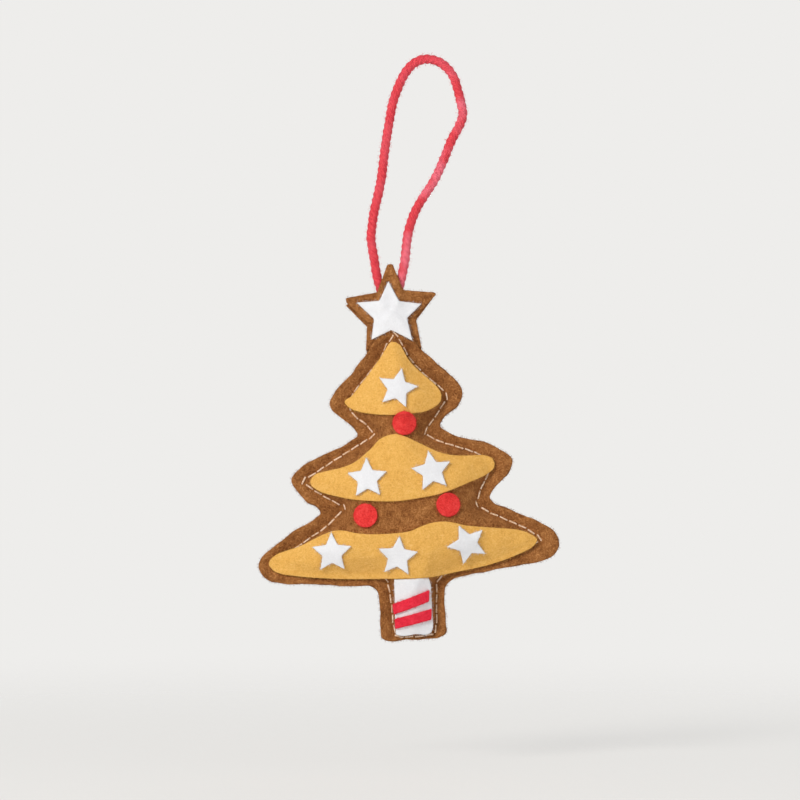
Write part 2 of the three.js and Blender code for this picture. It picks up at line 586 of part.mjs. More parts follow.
const tierOutlines = Object.fromEntries(Object.entries(TIER_SHARES).map(([name, stretches]) =>
  [name, closedOutline(stretches, onTree, RIM_STEP_SHARE * FELT_MESH)]));

function addTiersAndStars() {
  const stars = Object.entries(SMALL_STARS).map(([name, { tier, share, turn }]) => {
    const corners = smallStarCorners(onTree(share), turn);
    return { name, tier, middle: onTree(share), outline: straightOutline(corners, TRIM_MESH) };
  });
  for (const [name, outline] of Object.entries(tierOutlines)) {
    const marks = stars.filter(({ tier }) => tier === name).flatMap((star) => [star.middle, ...star.outline]);
    addTrim(name, { outline, marks, seat: seatOnPanel, felt: TIER_FELT, material: GOLD });
  }
  const seat = (point) => seatOnTrim(point, TIER_FELT);
  for (const { name, middle, outline } of stars) {
    addTrim(name, { outline, marks: [middle], seat, felt: STAR_FELT, material: WHITE });
  }
}

// The dots lie on the panel, and lap over any tier that they reach.
function addDots() {
  const seat = (point) => {
    const lapping = Math.max(...Object.values(tierOutlines).map((tier) => lappingShare(tier, point)));
    return THREE.MathUtils.lerp(seatOnPanel(point), seatOnTrim(point, TIER_FELT), lapping);
  };
  for (const [name, share] of Object.entries(DOT_SHARES)) {
    const outline = circleOutline(onTree(share), DOT_RADIUS, TRIM_MESH);
    addTrim(name, { outline, marks: [onTree(share)], seat, felt: DOT_FELT, material: RED });
  }
}

// The trunk's patch starts just under the bottom tier, and two stripes lie across it.
function addTrunkTrim() {
  const left = -PATCH_WIDTH / 2;
  const top = -TIER_FOOT_SHARE * TREE_DROP - PATCH_GAP;
  const onPatch = ([across, down]) =>
    new THREE.Vector2(left + across * PATCH_WIDTH, top - down * PATCH_HEIGHT);
  const stripes = Object.entries(STRIPE_SHARES).map(([name, corners]) =>
    ({ name, outline: straightOutline(corners.map(onPatch), TRIM_MESH) }));
  addTrim("trunk_patch", {
    outline: closedOutline(PATCH_SHARES, onPatch, TRIM_MESH),
    marks: stripes.flatMap((stripe) => stripe.outline),
    seat: seatOnPanel,
    felt: PATCH_FELT,
    material: WHITE,
  });
  const seat = (point) => seatOnTrim(point, PATCH_FELT);
  for (const { name, outline } of stripes) {
    addTrim(name, { outline, seat, felt: STRIPE_FELT, material: RED });
  }
}

// The yarn: a loop whose two ends are domed about the level where it flexes, and the ends below them, which
// start flat just under the domes and stay with the tree.
const DOME_ANGLES = [0.12, 0.19].map((turn) => turn * TAU);
function yarnRings(route, isDomed) {
  const curve = new THREE.CatmullRomCurve3(
    route.map(([x, z]) => new THREE.Vector3(x, 0, z)), false, "centripetal");
  const steps = Math.round(curve.getLength() / YARN_STEP);
  const out = new THREE.Vector3(0, -1, 0);
  const ringAt = (centre, along, radius) =>
    ({ centre, radius, out, aside: new THREE.Vector3().crossVectors(along, out) });
  const rings = Array.from({ length: steps + 1 }, (_, i) =>
    ringAt(curve.getPointAt(i / steps), curve.getTangentAt(i / steps), YARN / 2));
  if (!isDomed) return rings;
  const dome = (share, direction) => DOME_ANGLES.map((angle) => {
    const along = curve.getTangentAt(share);
    const centre = curve.getPointAt(share).addScaledVector(along, (direction * YARN * Math.sin(angle)) / 2);
    return ringAt(centre, along, (YARN * Math.cos(angle)) / 2);
  });
  return [...dome(0, -1).reverse(), ...rings, ...dome(1, 1)];
}

function addYarn() {
  addPiece(ornament, "hanging_loop", tubeGeometry(yarnRings(LOOP_ROUTE, true), YARN_SIDES, false), YARN_RED);
  for (const [name, route] of Object.entries(END_ROUTES)) {
    addPiece(ornament, name, tubeGeometry(yarnRings(route, false), YARN_SIDES, false), YARN_RED);
  }
}

addPanels();
addStuffing();
addSeamThreads();
addTopper();
addTiersAndStars();
addDots();
addTrunkTrim();
addYarn();

export default ornament;
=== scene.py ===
import math

import bmesh
import bpy
import numpy as np
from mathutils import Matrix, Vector, geometry
from mathutils.bvhtree import BVHTree
from mathutils.kdtree import KDTree


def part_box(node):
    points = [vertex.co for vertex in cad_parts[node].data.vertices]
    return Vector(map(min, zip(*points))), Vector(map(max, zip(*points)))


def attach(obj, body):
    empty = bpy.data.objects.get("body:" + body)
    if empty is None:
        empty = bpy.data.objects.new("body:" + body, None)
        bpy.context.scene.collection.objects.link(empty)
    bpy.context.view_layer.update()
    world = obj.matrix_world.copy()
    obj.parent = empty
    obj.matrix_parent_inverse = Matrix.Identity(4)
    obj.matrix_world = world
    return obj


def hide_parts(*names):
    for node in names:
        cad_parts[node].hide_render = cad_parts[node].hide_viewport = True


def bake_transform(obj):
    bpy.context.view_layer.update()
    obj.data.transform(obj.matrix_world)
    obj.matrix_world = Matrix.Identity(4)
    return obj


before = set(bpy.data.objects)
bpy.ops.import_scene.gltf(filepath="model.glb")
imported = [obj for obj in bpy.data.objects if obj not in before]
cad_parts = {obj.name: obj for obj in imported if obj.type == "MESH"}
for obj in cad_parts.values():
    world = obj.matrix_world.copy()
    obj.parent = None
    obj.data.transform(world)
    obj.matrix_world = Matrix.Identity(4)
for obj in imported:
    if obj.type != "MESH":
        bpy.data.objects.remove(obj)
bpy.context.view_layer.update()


# The camera stands square in front of the ornament, so far away that perspective hardly shows, and frames
# it as the photograph does: 3 pixels to the millimetre, with the hanging point above the middle.
MM = 0.001
PHOTO_SIDE = 800
PIXELS_PER_MM = 3.0
HOOK_PIXEL = (425, 64)
CAMERA_DISTANCE = 1400 * MM


def new_object(name, data):
    """A new object in the scene."""
    obj = bpy.data.objects.new(name, data)
    bpy.context.collection.objects.link(obj)
    return obj


camera_data = bpy.data.cameras.new("camera")
camera_data.lens = camera_data.sensor_width * CAMERA_DISTANCE / (PHOTO_SIDE / PIXELS_PER_MM * MM)
camera = new_object("camera", camera_data)
camera.location = (
    (PHOTO_SIDE / 2 - HOOK_PIXEL[0]) / PIXELS_PER_MM * MM,
    -CAMERA_DISTANCE,
    (HOOK_PIXEL[1] - PHOTO_SIDE / 2) / PIXELS_PER_MM * MM,
)
camera.rotation_euler = (math.radians(90), 0, 0)
bpy.context.scene.camera = camera


# The hanging loop is one length of soft red wool yarn, four plies laid together. Both ends go down between
# the two brown stars of the topper, where they are glued; the loop above them is what it hangs by.
YARN = 3.2 * MM
YARN_PLIES = 4
YARN_LAY = 8.5 * MM
YARN_GROOVE_SHARE = 0.86
YARN_STEP = 0.4 * MM
YARN_SIDES = 40
YARN_SWELL = 0.03
YARN_SWELL_WAVES = (2.7 * MM, 1.9 * MM)
YARN_FIBRES = (5.0, 5.0, 3.6)
YARN_STREAKS = (0.36, 0.58)
# The pale pink patches are a painted highlight: soft pink mixed into the red, weak on the first part of the
# loop and strongest along its right leg.
YARN_HIGHLIGHT_PATCHES = 130.0
YARN_HIGHLIGHT_TONES = (0.42, 0.62)
YARN_HIGHLIGHT_LAYS = (10.6, 13.0)
YARN_HIGHLIGHT_SHARES = (0.15, 0.6)
YARN_RELIEF = (0.9, 0.3 * MM)
YARN_FUZZ = 1.8 * MM
YARN_FUZZ_COUNT = 1800
YARN_FUZZ_ROOT = 0.46
YARN_FUZZ_LEAN = 0.9
YARN_FUZZ_SEED = 3
FUZZ = 0.045 * MM
FUZZ_ARCH = 0.15
FUZZ_UNEVENNESS = 0.6
THREAD_TILT = (0.3, 0.3, 0.9)
THREAD_SHRINK = (-0.7, -1.0, -1.0)
THREAD_SWELL = (0.5, 1.0, 1.0)
YARN_RED = (241, 84, 92)
YARN_SHEEN_PINK = (250, 136, 156)
YARN_DEEP = (206, 44, 62)
SWING_MIDDLE = -12 * MM
YARN_ROUTE = [
    (-14, -81.2), (-14.8, -75), (-15.7, -72), (-16.4, -68.7), (-16.7, -66.6), (-17, -64.7), (-17.6, -61.3),
    (-18, -57.8), (-17.8, -55.3), (-17, -49.5), (-15.7, -43.8), (-14.5, -37.8), (-13.8, -32), (-12.9, -25.3),
    (-11.8, -18.7), (-10.8, -13.2), (-9, -7.9), (-6.6, -3), (-3.6, 0.3), (0, 1.6), (4.2, 0.9), (7.6, -1.6),
    (9.7, -4.8), (11, -9), (12, -13), (12.6, -16.8), (11.6, -20.2), (8.9, -25.3), (6.2, -32), (3.1, -38.7),
    (-1.1, -45.3), (-3.2, -49), (-5.4, -55.3), (-6.2, -60.3), (-6.6, -64.7), (-6.9, -66.6), (-7.3, -68.7),
    (-8, -72), (-8.6, -75), (-9.4, -80.4),
]


def smooth_line(points, step, closed=False):
    """Evenly spaced points on the smooth line through the given ones (a centripetal spline)."""
    given = np.asarray(points, float)
    if closed:
        given = np.vstack([given[-1], given, given[:2]])
    else:
        given = np.vstack([2 * given[0] - given[1], given, 2 * given[-1] - given[-2]])
    share = np.linspace(0, 1, 16, endpoint=False)[:, None]
    pieces = []
    for a, b, c, d in zip(given, given[1:], given[2:], given[3:]):
        before, here, after = (np.linalg.norm(q - p) ** 0.5 for p, q in ((a, b), (b, c), (c, d)))
        leave = here * ((b - a) / before - (c - a) / (before + here) + (c - b) / here)
        arrive = here * ((c - b) / here - (d - b) / (here + after) + (d - c) / after)
        pieces.append((2 * share**3 - 3 * share**2 + 1) * b + (share**3 - 2 * share**2 + share) * leave
                      + (3 * share**2 - 2 * share**3) * c + (share**3 - share**2) * arrive)
    line = np.vstack([*pieces, given[-2:-1]])
    reach = np.concatenate([[0], np.cumsum(np.linalg.norm(np.diff(line, axis=0), axis=1))])
    even = np.linspace(0, reach[-1], max(1, round(reach[-1] / step)) + 1)
    return np.stack([np.interp(even, reach, column) for column in line.T], axis=1)


def srgb(red, green, blue):
    """A colour given as the eye sees it, from 0 to 255, as the shader's linear colour."""
    shares = [value / 255 for value in (red, green, blue)]
    return (*[s / 12.92 if s <= 0.04045 else ((s + 0.055) / 1.055) ** 2.4 for s in shares], 1)


def closed_mesh(name, vertices, faces):
    """A new object with a smooth closed mesh, whose faces all look outward."""
    mesh = bpy.data.meshes.new(name)
    mesh.from_pydata([tuple(v) for v in vertices], [], [tuple(int(i) for i in f) for f in faces])
    turned = bmesh.new()
    turned.from_mesh(mesh)
    bmesh.ops.recalc_face_normals(turned, faces=turned.faces)
    turned.to_mesh(mesh)
    turned.free()
    mesh.polygons.foreach_set("use_smooth", [True] * len(mesh.polygons))
    mesh.update()
    return new_object(name, mesh)


def nodes_of(tree):
    """A function that adds a node to a tree, with its settings and with its inputs set or linked."""
    def add(kind, inputs=None, **settings):
        node = tree.nodes.new(kind)
        for name, value in settings.items():
            setattr(node, name, value)
        for name, value in (inputs or {}).items():
            if isinstance(value, bpy.types.NodeSocket):
                tree.links.new(value, node.inputs[name])
            else:
                node.inputs[name].default_value = value
        return node
    return add


def open_sockets(tree, way, kind, *names):
    """Gives a node group inputs or outputs of one kind."""
    for name in names:
        tree.interface.new_socket(name, in_out=way, socket_type=f"NodeSocket{kind}")


def reckoned(add, operation, *values, **settings):
    """What a Math node makes of some values."""
    return add("ShaderNodeMath", dict(enumerate(values)), operation=operation, **settings).outputs[0]


def vector_of(add, operation, first, second):
    """What a Vector Math node makes of two vectors, or of a vector and a scale."""
    inputs = {0: first, "Scale" if operation == "SCALE" else 1: second}
    return add("ShaderNodeVectorMath", inputs, operation=operation).outputs[0]


def ranged(add, value, low, high, bottom=0.0, top=1.0, **settings):
    """A value moved from one range to another, and held within it."""
    return add("ShaderNodeMapRange", {"Value": value, "From Min": low, "From Max": high,
                                      "To Min": bottom, "To Max": top}, **settings).outputs[0]


def mixed(add, share, none, full):
    """A colour between two others."""
    return add("ShaderNodeMix", {0: share, 6: none, 7: full}, data_type="RGBA").outputs[2]


def noise_of(add, place, scale, detail, **inputs):
    """Soft noise over a place: how strong it is there."""
    given = {"Vector": place, "Scale": scale, "Detail": detail, **inputs}
    return add("ShaderNodeTexNoise", given).outputs["Fac"]


def cloth_material(name, sheen, sheen_tint, roughness):
    """A new fibrous material, with its node adder and its Principled shader."""
    material = bpy.data.materials.new(name)
    material.use_nodes = True
    add = nodes_of(material.node_tree)
    shader = material.node_tree.nodes["Principled BSDF"]
    for name, value in (("Roughness", roughness), ("Specular IOR Level", 0.2), ("Sheen Weight", sheen),
                        ("Sheen Roughness", 0.5), ("Sheen Tint", srgb(*sheen_tint))):
        shader.inputs[name].default_value = value
    return material, add, shader


def feed(shader, name, socket):
    """Links a socket to an input of a shader or of an output node."""
    shader.id_data.links.new(socket, shader.inputs[name])


def roughen(add, shader, height, strength, depth):
    """Gives a material's shader the fine relief of its fibres."""
    bump = add("ShaderNodeBump", {"Height": height, "Strength": strength, "Distance": depth})
    feed(shader, "Normal", bump.outputs[0])


def ply_radius(angle):
    """How far the yarn's surface lies from its middle: round plies side by side."""
    half = math.pi / YARN_PLIES
    ply = YARN / 2 / (1 + 1 / math.sin(half))
    middle = YARN / 2 - ply
    off = (angle + half) % (2 * half) - half
    lobe = middle * np.cos(off) + np.sqrt(np.maximum(ply**2 - (middle * np.sin(off)) ** 2, 0))
    return np.maximum(lobe, YARN_GROOVE_SHARE * YARN / 2)


def laid_threads():
    """The node tree that sets one arched bit of thread on every point, along the point's own direction."""
    tree = bpy.data.node_groups.new("laid threads", "GeometryNodeTree")
    open_sockets(tree, "INPUT", "Geometry", "Places")
    open_sockets(tree, "INPUT", "Float", "Length", "Thickness", "Arch", "Unevenness")
    open_sockets(tree, "INPUT", "Int", "Steps", "Sides", "Seed")
    open_sockets(tree, "INPUT", "Material", "Thread")
    open_sockets(tree, "OUTPUT", "Geometry", "Threads")
    add = nodes_of(tree)
    given = add("NodeGroupInput").outputs
    half = reckoned(add, "MULTIPLY", given["Length"], 0.5)
    other = reckoned(add, "MULTIPLY", half, -1.0)
    sink = reckoned(add, "MULTIPLY", given["Arch"], -1.0)
    start = add("ShaderNodeCombineXYZ", {"X": other, "Z": sink}).outputs[0]
    middle = add("ShaderNodeCombineXYZ", {"Z": given["Arch"]}).outputs[0]
    end = add("ShaderNodeCombineXYZ", {"X": half, "Z": sink}).outputs[0]
    arch = add("GeometryNodeCurveQuadraticBezier",
               {"Resolution": given["Steps"], "Start": start, "Middle": middle, "End": end})
    thickness = reckoned(add, "MULTIPLY", given["Thickness"], 0.5)
    section = add("GeometryNodeCurvePrimitiveCircle", {"Resolution": given["Sides"], "Radius": thickness})
    one = add("GeometryNodeCurveToMesh",
              {"Curve": arch.outputs[0], "Profile Curve": section.outputs[0], "Fill Caps": True})
    run, lift = (add("GeometryNodeInputNamedAttribute", {"Name": name}, data_type="FLOAT_VECTOR").outputs[0]
                 for name in ("run", "lift"))
    turned = add("FunctionNodeAlignRotationToVector", {"Vector": run}, axis="X").outputs[0]
    turned = add("FunctionNodeAlignRotationToVector", {"Rotation": turned, "Vector": lift},
                 axis="Z", pivot_axis="X").outputs[0]
    other_way = tuple(-angle for angle in THREAD_TILT)
    tilt, swell = (add("FunctionNodeRandomValue", {"Min": least, "Max": most, "Seed": given["Seed"]},
                       data_type="FLOAT_VECTOR").outputs["Value"]
                   for least, most in ((other_way, THREAD_TILT), (THREAD_SHRINK, THREAD_SWELL)))
    tilt = vector_of(add, "SCALE", tilt, given["Unevenness"])
    askew = add("FunctionNodeEulerToRotation", {0: tilt}).outputs[0]
    turned = add("FunctionNodeRotateRotation", {"Rotation": turned, "Rotate By": askew},
                 rotation_space="LOCAL").outputs[0]
    swell = vector_of(add, "SCALE", swell, given["Unevenness"])
    swell = vector_of(add, "ADD", swell, (1.0, 1.0, 1.0))
    row = add("GeometryNodeInstanceOnPoints",
              {"Points": given["Places"], "Instance": one.outputs[0], "Rotation": turned, "Scale": swell})
    real = add("GeometryNodeRealizeInstances", {"Geometry": row.outputs[0]})
    smooth = add("GeometryNodeSetShadeSmooth", {"Geometry": real.outputs[0]})
    dressed = add("GeometryNodeSetMaterial", {"Geometry": smooth.outputs[0], "Material": given["Thread"]})
    add("NodeGroupOutput", {"Threads": dressed.outputs[0]})
    return tree


thread_tree = laid_threads()


def threads_at(name, points, runs, lifts, values):
    """The mesh of the threads that the node tree lays on some points, as an object of its own."""
    seeds = bpy.data.meshes.new(f"{name}_points")
    seeds.from_pydata([tuple(p) for p in points], [], [])
    for label, vectors in (("run", runs), ("lift", lifts)):
        attribute = seeds.attributes.new(label, "FLOAT_VECTOR", "POINT")
        attribute.data.foreach_set("vector", np.float32(vectors).ravel())
    carrier = new_object(f"{name}_points", seeds)
    grow = carrier.modifiers.new("grow", "NODES")
    grow.node_group = thread_tree
    for socket in thread_tree.interface.items_tree:
        if socket.name in values:
            grow[socket.identifier] = values[socket.name]
    evaluated = carrier.evaluated_get(bpy.context.evaluated_depsgraph_get())
    grown = new_object(name, bpy.data.meshes.new_from_object(evaluated))
    bpy.data.objects.remove(carrier)
    return grown


def fuzz_at(name, points, runs, length, material, seed):
    """Short loose fibres that stick out of wool at some points, along the given directions."""
    chance = np.random.default_rng(seed)
    return threads_at(name, points, runs, chance.normal(size=(len(points), 3)), {
        "Length": length, "Thickness": FUZZ, "Arch": FUZZ_ARCH * length, "Steps": 4, "Sides": 3,
        "Unevenness": FUZZ_UNEVENNESS, "Seed": seed, "Thread": material,
    })


yarn_path = smooth_line([(x * MM, 0, z * MM) for x, z in YARN_ROUTE], YARN_STEP)
yarn_length = np.linalg.norm(np.diff(yarn_path, axis=0), axis=1).sum()
along = np.gradient(yarn_path, axis=0)
along /= np.linalg.norm(along, axis=1)[:, None]
across = np.cross(along, (0, 1, 0))
reach = np.linspace(0, yarn_length, len(yarn_path))
angle = np.linspace(0, 2 * math.pi, YARN_SIDES, endpoint=False)
ply_angle = angle[None, :] - 2 * math.pi * reach[:, None] / YARN_LAY
swell = 1 + YARN_SWELL * np.sin(reach / YARN_SWELL_WAVES[0]) * np.sin(reach / YARN_SWELL_WAVES[1])
radius = ply_radius(ply_angle) * swell[:, None]
yarn_points = (yarn_path[:, None, :]
               + (radius * np.cos(angle))[:, :, None] * np.array([0, -1, 0])
               + (radius * np.sin(angle))[:, :, None] * across[:, None, :]).reshape(-1, 3)
yarn_faces = [
    (ring * YARN_SIDES + side, ring * YARN_SIDES + (side + 1) % YARN_SIDES,
     (ring + 1) * YARN_SIDES + (side + 1) % YARN_SIDES, (ring + 1) * YARN_SIDES + side)
    for ring in range(len(yarn_path) - 1) for side in range(YARN_SIDES)
]
yarn_faces.append(tuple(reversed(range(YARN_SIDES))))
yarn_faces.append(tuple(range((len(yarn_path) - 1) * YARN_SIDES, len(yarn_path) * YARN_SIDES)))
yarn = closed_mesh("yarn_loop", yarn_points, yarn_faces)
strand = yarn.data.attributes.new("strand", "FLOAT_VECTOR", "POINT")
strand.data.foreach_set("vector", np.stack([
    np.cos(ply_angle), np.sin(ply_angle), np.broadcast_to(reach[:, None] / YARN_LAY, ply_angle.shape),
], axis=2).astype(np.float32).ravel())

yarn_wool, add, shader = cloth_material("red wool yarn", 0.35, YARN_SHEEN_PINK, 0.9)
strand_place = add("ShaderNodeAttribute", attribute_name="strand").outputs["Vector"]
fibres = vector_of(add, "MULTIPLY", strand_place, YARN_FIBRES)
streaks = noise_of(add, fibres, 1.6, 4.0, Distortion=0.6)
reds = mixed(add, ranged(add, streaks, *YARN_STREAKS), srgb(*YARN_DEEP), srgb(*YARN_RED))
lays_down = add("ShaderNodeSeparateXYZ", {0: strand_place}).outputs["Z"]
# Painted highlight: pale pink patches over the red, faint along the first part of the yarn and strongest
# along the loop's right leg.
highlight_patches = noise_of(add, add("ShaderNodeTexCoord").outputs["Object"], YARN_HIGHLIGHT_PATCHES, 2.0)
painted_highlight = ranged(add, highlight_patches, *YARN_HIGHLIGHT_TONES)
painted_highlight = reckoned(add, "MULTIPLY", painted_highlight, ranged(add, lays_down, *YARN_HIGHLIGHT_LAYS, *YARN_HIGHLIGHT_SHARES))
feed(shader, "Base Color", mixed(add, painted_highlight, reds, srgb(*YARN_SHEEN_PINK)))
roughen(add, shader, streaks, *YARN_RELIEF)
yarn.data.materials.append(yarn_wool)

chance = np.random.default_rng(YARN_FUZZ_SEED)
spot = chance.integers(4, len(yarn_path) - 4, YARN_FUZZ_COUNT)
turn = chance.uniform(0, 2 * math.pi, YARN_FUZZ_COUNT)
away = np.cos(turn)[:, None] * np.array([0, -1, 0]) + np.sin(turn)[:, None] * across[spot]
lean = chance.normal(scale=YARN_FUZZ_LEAN, size=(YARN_FUZZ_COUNT, 1))
yarn_fuzz = fuzz_at("yarn_fuzz", yarn_path[spot] + YARN_FUZZ_ROOT * YARN * away, away + lean * along[spot],
                    YARN_FUZZ, yarn_wool, YARN_FUZZ_SEED)

for piece in (yarn, yarn_fuzz):
    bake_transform(piece)
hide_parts("hanging_loop", "loop_end_left", "loop_end_right")


# The topper's two brown stars are cut from 1.5 mm felt and glued together over the yarn's ends, which they
# bulge over. The back one sits a little lower, so its edge shows under the front one's arms. All felt is
# laid on a map of heights over the ornament's middle plane, one map for the front and one for the back.
FELT_CELL = 0.25 * MM
FELT_MARGIN = 4 * MM
FELT_CONTACT = 0.06 * MM
FELT_SPACING = 0.7 * MM
TRIM_SPACING = 0.4 * MM
CUT_ROUND = 0.3 * MM
CUT_RAGGED = 0.04 * MM
FELT_FUZZ = 1.3 * MM
FELT_FUZZ_GAP = 0.3 * MM
FELT_FUZZ_LEAN = 0.7
FIBRE_LENGTH = 2.4 * MM
FIBRE_WIDTH = 0.3 * MM
FIBRE_DRIFT = 1.6 * MM
FIBRE_BENDS = 700.0
FIBRE_TURNS = (12, 74, 133)
FIBRE_TONES = (0.46, 0.72)
BLOTCH = 3.4 * MM
BLOTCH_TONES = (0.3, 0.7)
NAP = 0.22 * MM
TOPPER_FELT = 1.5 * MM
TOPPER_GLUE = 0.02
TOPPER_SPACING = 0.5 * MM
YARN_HELD_BELOW = -68 * MM
BROWN_BASE = (151, 97, 51)
BROWN_LIGHT = (197, 139, 83)
BROWN_DARK = (104, 58, 24)

felt_low = np.minimum(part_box("tree_front")[0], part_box("star_back")[0]) - FELT_MARGIN
felt_high = np.maximum(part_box("tree_front")[1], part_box("star_front")[1]) + FELT_MARGIN
grid_x = np.arange(felt_low[0], felt_high[0], FELT_CELL)
grid_z = np.arange(felt_low[2], felt_high[2], FELT_CELL)
place_x, place_z = np.meshgrid(grid_x, grid_z, indexing="ij")


def eased(values, axis=0):
    """Values of which each is drawn halfway to the two beside it."""
    return 0.5 * values + 0.25 * (np.roll(values, 1, axis) + np.roll(values, -1, axis))


def merged_copy(node):
    """A CAD node's mesh with its loose triangles joined."""
    made = bmesh.new()
    made.from_mesh(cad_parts[node].data)
    bmesh.ops.remove_doubles(made, verts=made.verts, dist=0.001 * MM)
    made.verts.index_update()
    made.normal_update()
    return made


def outline_of(node, spacing, facing=-1, corner=50):
    """The outline of a flat CAD piece seen from its face, as smooth evenly spaced (x, z) points."""
    made = merged_copy(node)
    face_edges = {}
    for face in made.faces:
        if face.normal.y * facing > 0.05:
            for loop in face.loops:
                if loop.link_loop_radial_next.face.normal.y * facing <= 0.05:
                    face_edges[loop.vert.index] = loop.link_loop_next.vert
    start = here = next(iter(face_edges))
    points = []
    while not points or here != start:
        there = face_edges[here]
        points.append((there.co.x, there.co.z))
        here = there.index
    made.free()
    points = np.array(points)
    points = points if signed_area(points) > 0 else points[::-1]
    before, after = points - np.roll(points, 1, axis=0), np.roll(points, -1, axis=0) - points
    turn = np.arctan2(before[:, 0] * after[:, 1] - before[:, 1] * after[:, 0], (before * after).sum(axis=1))
    corners = np.flatnonzero(np.abs(turn) > math.radians(corner))
    if not len(corners):
        corners = np.array([0])
    stretches = []
    for first, last in zip(corners, np.roll(corners, -1)):
        steps = (last - first - 1) % len(points) + 1
        stretch = points[(first + np.arange(steps + 1)) % len(points)]
        stretches.append(smooth_line(stretch, spacing)[:-1])
    return eased(np.vstack(stretches))


def signed_area(outline):
    x, z = outline.T
    return 0.5 * np.sum(x * np.roll(z, -1) - z * np.roll(x, -1))


def inside(outline):
    """Which cells of the map lie inside an outline."""
    hit = np.zeros(place_x.shape, bool)
    for (x0, z0), (x1, z1) in zip(outline, np.roll(outline, -1, axis=0)):
        rows = np.flatnonzero((grid_z >= min(z0, z1)) & (grid_z < max(z0, z1)))
        if len(rows):
            crossing = x0 + (grid_z[rows] - z0) * (x1 - x0) / (z1 - z0)
            hit[:, rows] ^= grid_x[:, None] < crossing[None, :]
    return hit


def soften(field, rounds):
    """A map blurred a little, as many times as rounds says."""
    for _ in range(rounds):
        field = eased(eased(field, 0), 1)
    return field


def height_at(field, points):
    """A map's value at (x, z) points, between its cells."""
    column = np.clip((points[:, 0] - grid_x[0]) / FELT_CELL, 0, len(grid_x) - 1.001)
    row = np.clip((points[:, 1] - grid_z[0]) / FELT_CELL, 0, len(grid_z) - 1.001)
    i, j = column.astype(int), row.astype(int)
    u, v = column - i, row - j
    return ((1 - u) * (1 - v) * field[i, j] + u * (1 - v) * field[i + 1, j]
            + (1 - u) * v * field[i, j + 1] + u * v * field[i + 1, j + 1])


def distance_map(line, furthest):
    """How far each cell lies from a line of close points, up to furthest, and how far along it that is."""
    distance = np.full(place_x.shape, furthest)
    along_line = np.zeros(place_x.shape)
    span = int(furthest / FELT_CELL) + 1
    run = np.concatenate([[0], np.cumsum(np.linalg.norm(np.diff(line, axis=0), axis=1))])
    for (x, z), so_far in zip(line, run):
        i, j = int((x - grid_x[0]) / FELT_CELL), int((z - grid_z[0]) / FELT_CELL)
        part = (slice(max(i - span, 0), i + span + 1), slice(max(j - span, 0), j + span + 1))
        away = np.hypot(place_x[part] - x, place_z[part] - z)
        nearer = away < distance[part]
        distance[part] = np.where(nearer, away, distance[part])
        along_line[part] = np.where(nearer, so_far, along_line[part])
    return distance, along_line


def lay(support, outline, glue, curl=0.0):
    """The under side of felt laid on a map: it rests on it, and bridges its hollows more with less glue."""
    felt = soften(inside(outline).astype(float), 2) > 0.02
    columns, rows = np.flatnonzero(felt.any(axis=1)), np.flatnonzero(felt.any(axis=0))
    part = (slice(columns[0] - 4, columns[-1] + 5), slice(rows[0] - 4, rows[-1] + 5))
    cover = felt[part].astype(float)
    weight = np.maximum(soften(cover, 2), 0.001)
    rest = support[part] + FELT_CONTACT
    sheet = rest.copy()
    for _ in range(int(2 / glue)):
        smooth = soften(sheet * cover, 2) / weight
        sheet = np.maximum(rest, (1 - glue) * smooth + glue * rest)
    sheet = soften(sheet * cover, 2) / weight
    if curl:
        centre = outline.mean(axis=0)
        far = np.hypot(place_x[part] - centre[0], place_z[part] - centre[1])
        sheet = sheet + curl * np.clip(far / np.hypot(*(outline - centre).T).max(), 0, 1) ** 4
    laid = support + FELT_CONTACT
    laid[part] = np.where(soften(cover, 6) > 0.001, spread(sheet, cover), rest)
    return laid


def spread(sheet, cover):
    """A piece's heights, carried on a little way past its edge."""
    known, filled = cover > 0, sheet * (cover > 0)
    for _ in range(6):
        weight = soften(known.astype(float), 1)
        wider = soften(filled, 1) / np.maximum(weight, 0.001)
        filled = np.where(known, filled, wider * (weight > 0))
        known = known | (weight > 0)
    return filled


def cover_with(support, under, outline, thickness):
    """The map after a piece of felt lies on it."""
    return np.where(inside(outline), np.maximum(support, under + thickness), support)


def fill(outline, spacing, rows=()):
    """Triangles that fill an outline evenly, with rows of extra points where they are given."""
    low, high = outline.min(axis=0), outline.max(axis=0)
    levels = np.arange(low[1], high[1], spacing * math.sin(math.radians(60)))
    lattice = np.array([(x + (k % 2) * spacing / 2, z)
                        for k, z in enumerate(levels) for x in np.arange(low[0], high[0], spacing)])
    fixed = np.vstack([outline, *rows])
    tree = KDTree(len(fixed))
    for index, (x, z) in enumerate(fixed):
        tree.insert((x, z, 0), index)
    tree.balance()
    clear = np.array([tree.find((x, z, 0))[2] > 0.6 * spacing for x, z in lattice])
    held = height_at(inside(outline).astype(float), lattice) > 0.5
    points = np.vstack([fixed, lattice[clear & held]])
    sides = [(k, (k + 1) % len(outline)) for k in range(len(outline))]
    found = geometry.delaunay_2d_cdt([Vector(p) for p in points], sides, [], 1, 1e-7)
    extra = [corner for corner, origin in enumerate(found[3]) if not origin]
    came_from = {corner: origin[0] for corner, origin in enumerate(found[3]) if origin}
    came_from.update({corner: len(points) + order for order, corner in enumerate(extra)})
    points = np.vstack([points, *[np.array(found[0][corner])[None, :2] for corner in extra]])
    return points, np.array([[came_from[corner] for corner in face] for face in found[2]])


def outward_of(outline):
    """The directions that point out of an outline, shorter where it turns sharply."""
    direction = np.roll(outline, -1, axis=0) - np.roll(outline, 1, axis=0)
    direction /= np.maximum(np.linalg.norm(direction, axis=1), 0.001 * MM)[:, None]
    outward = np.stack([direction[:, 1], -direction[:, 0]], axis=1)
    for _ in range(3):
        outward = eased(outward)
    return outward


cut_edges = {}


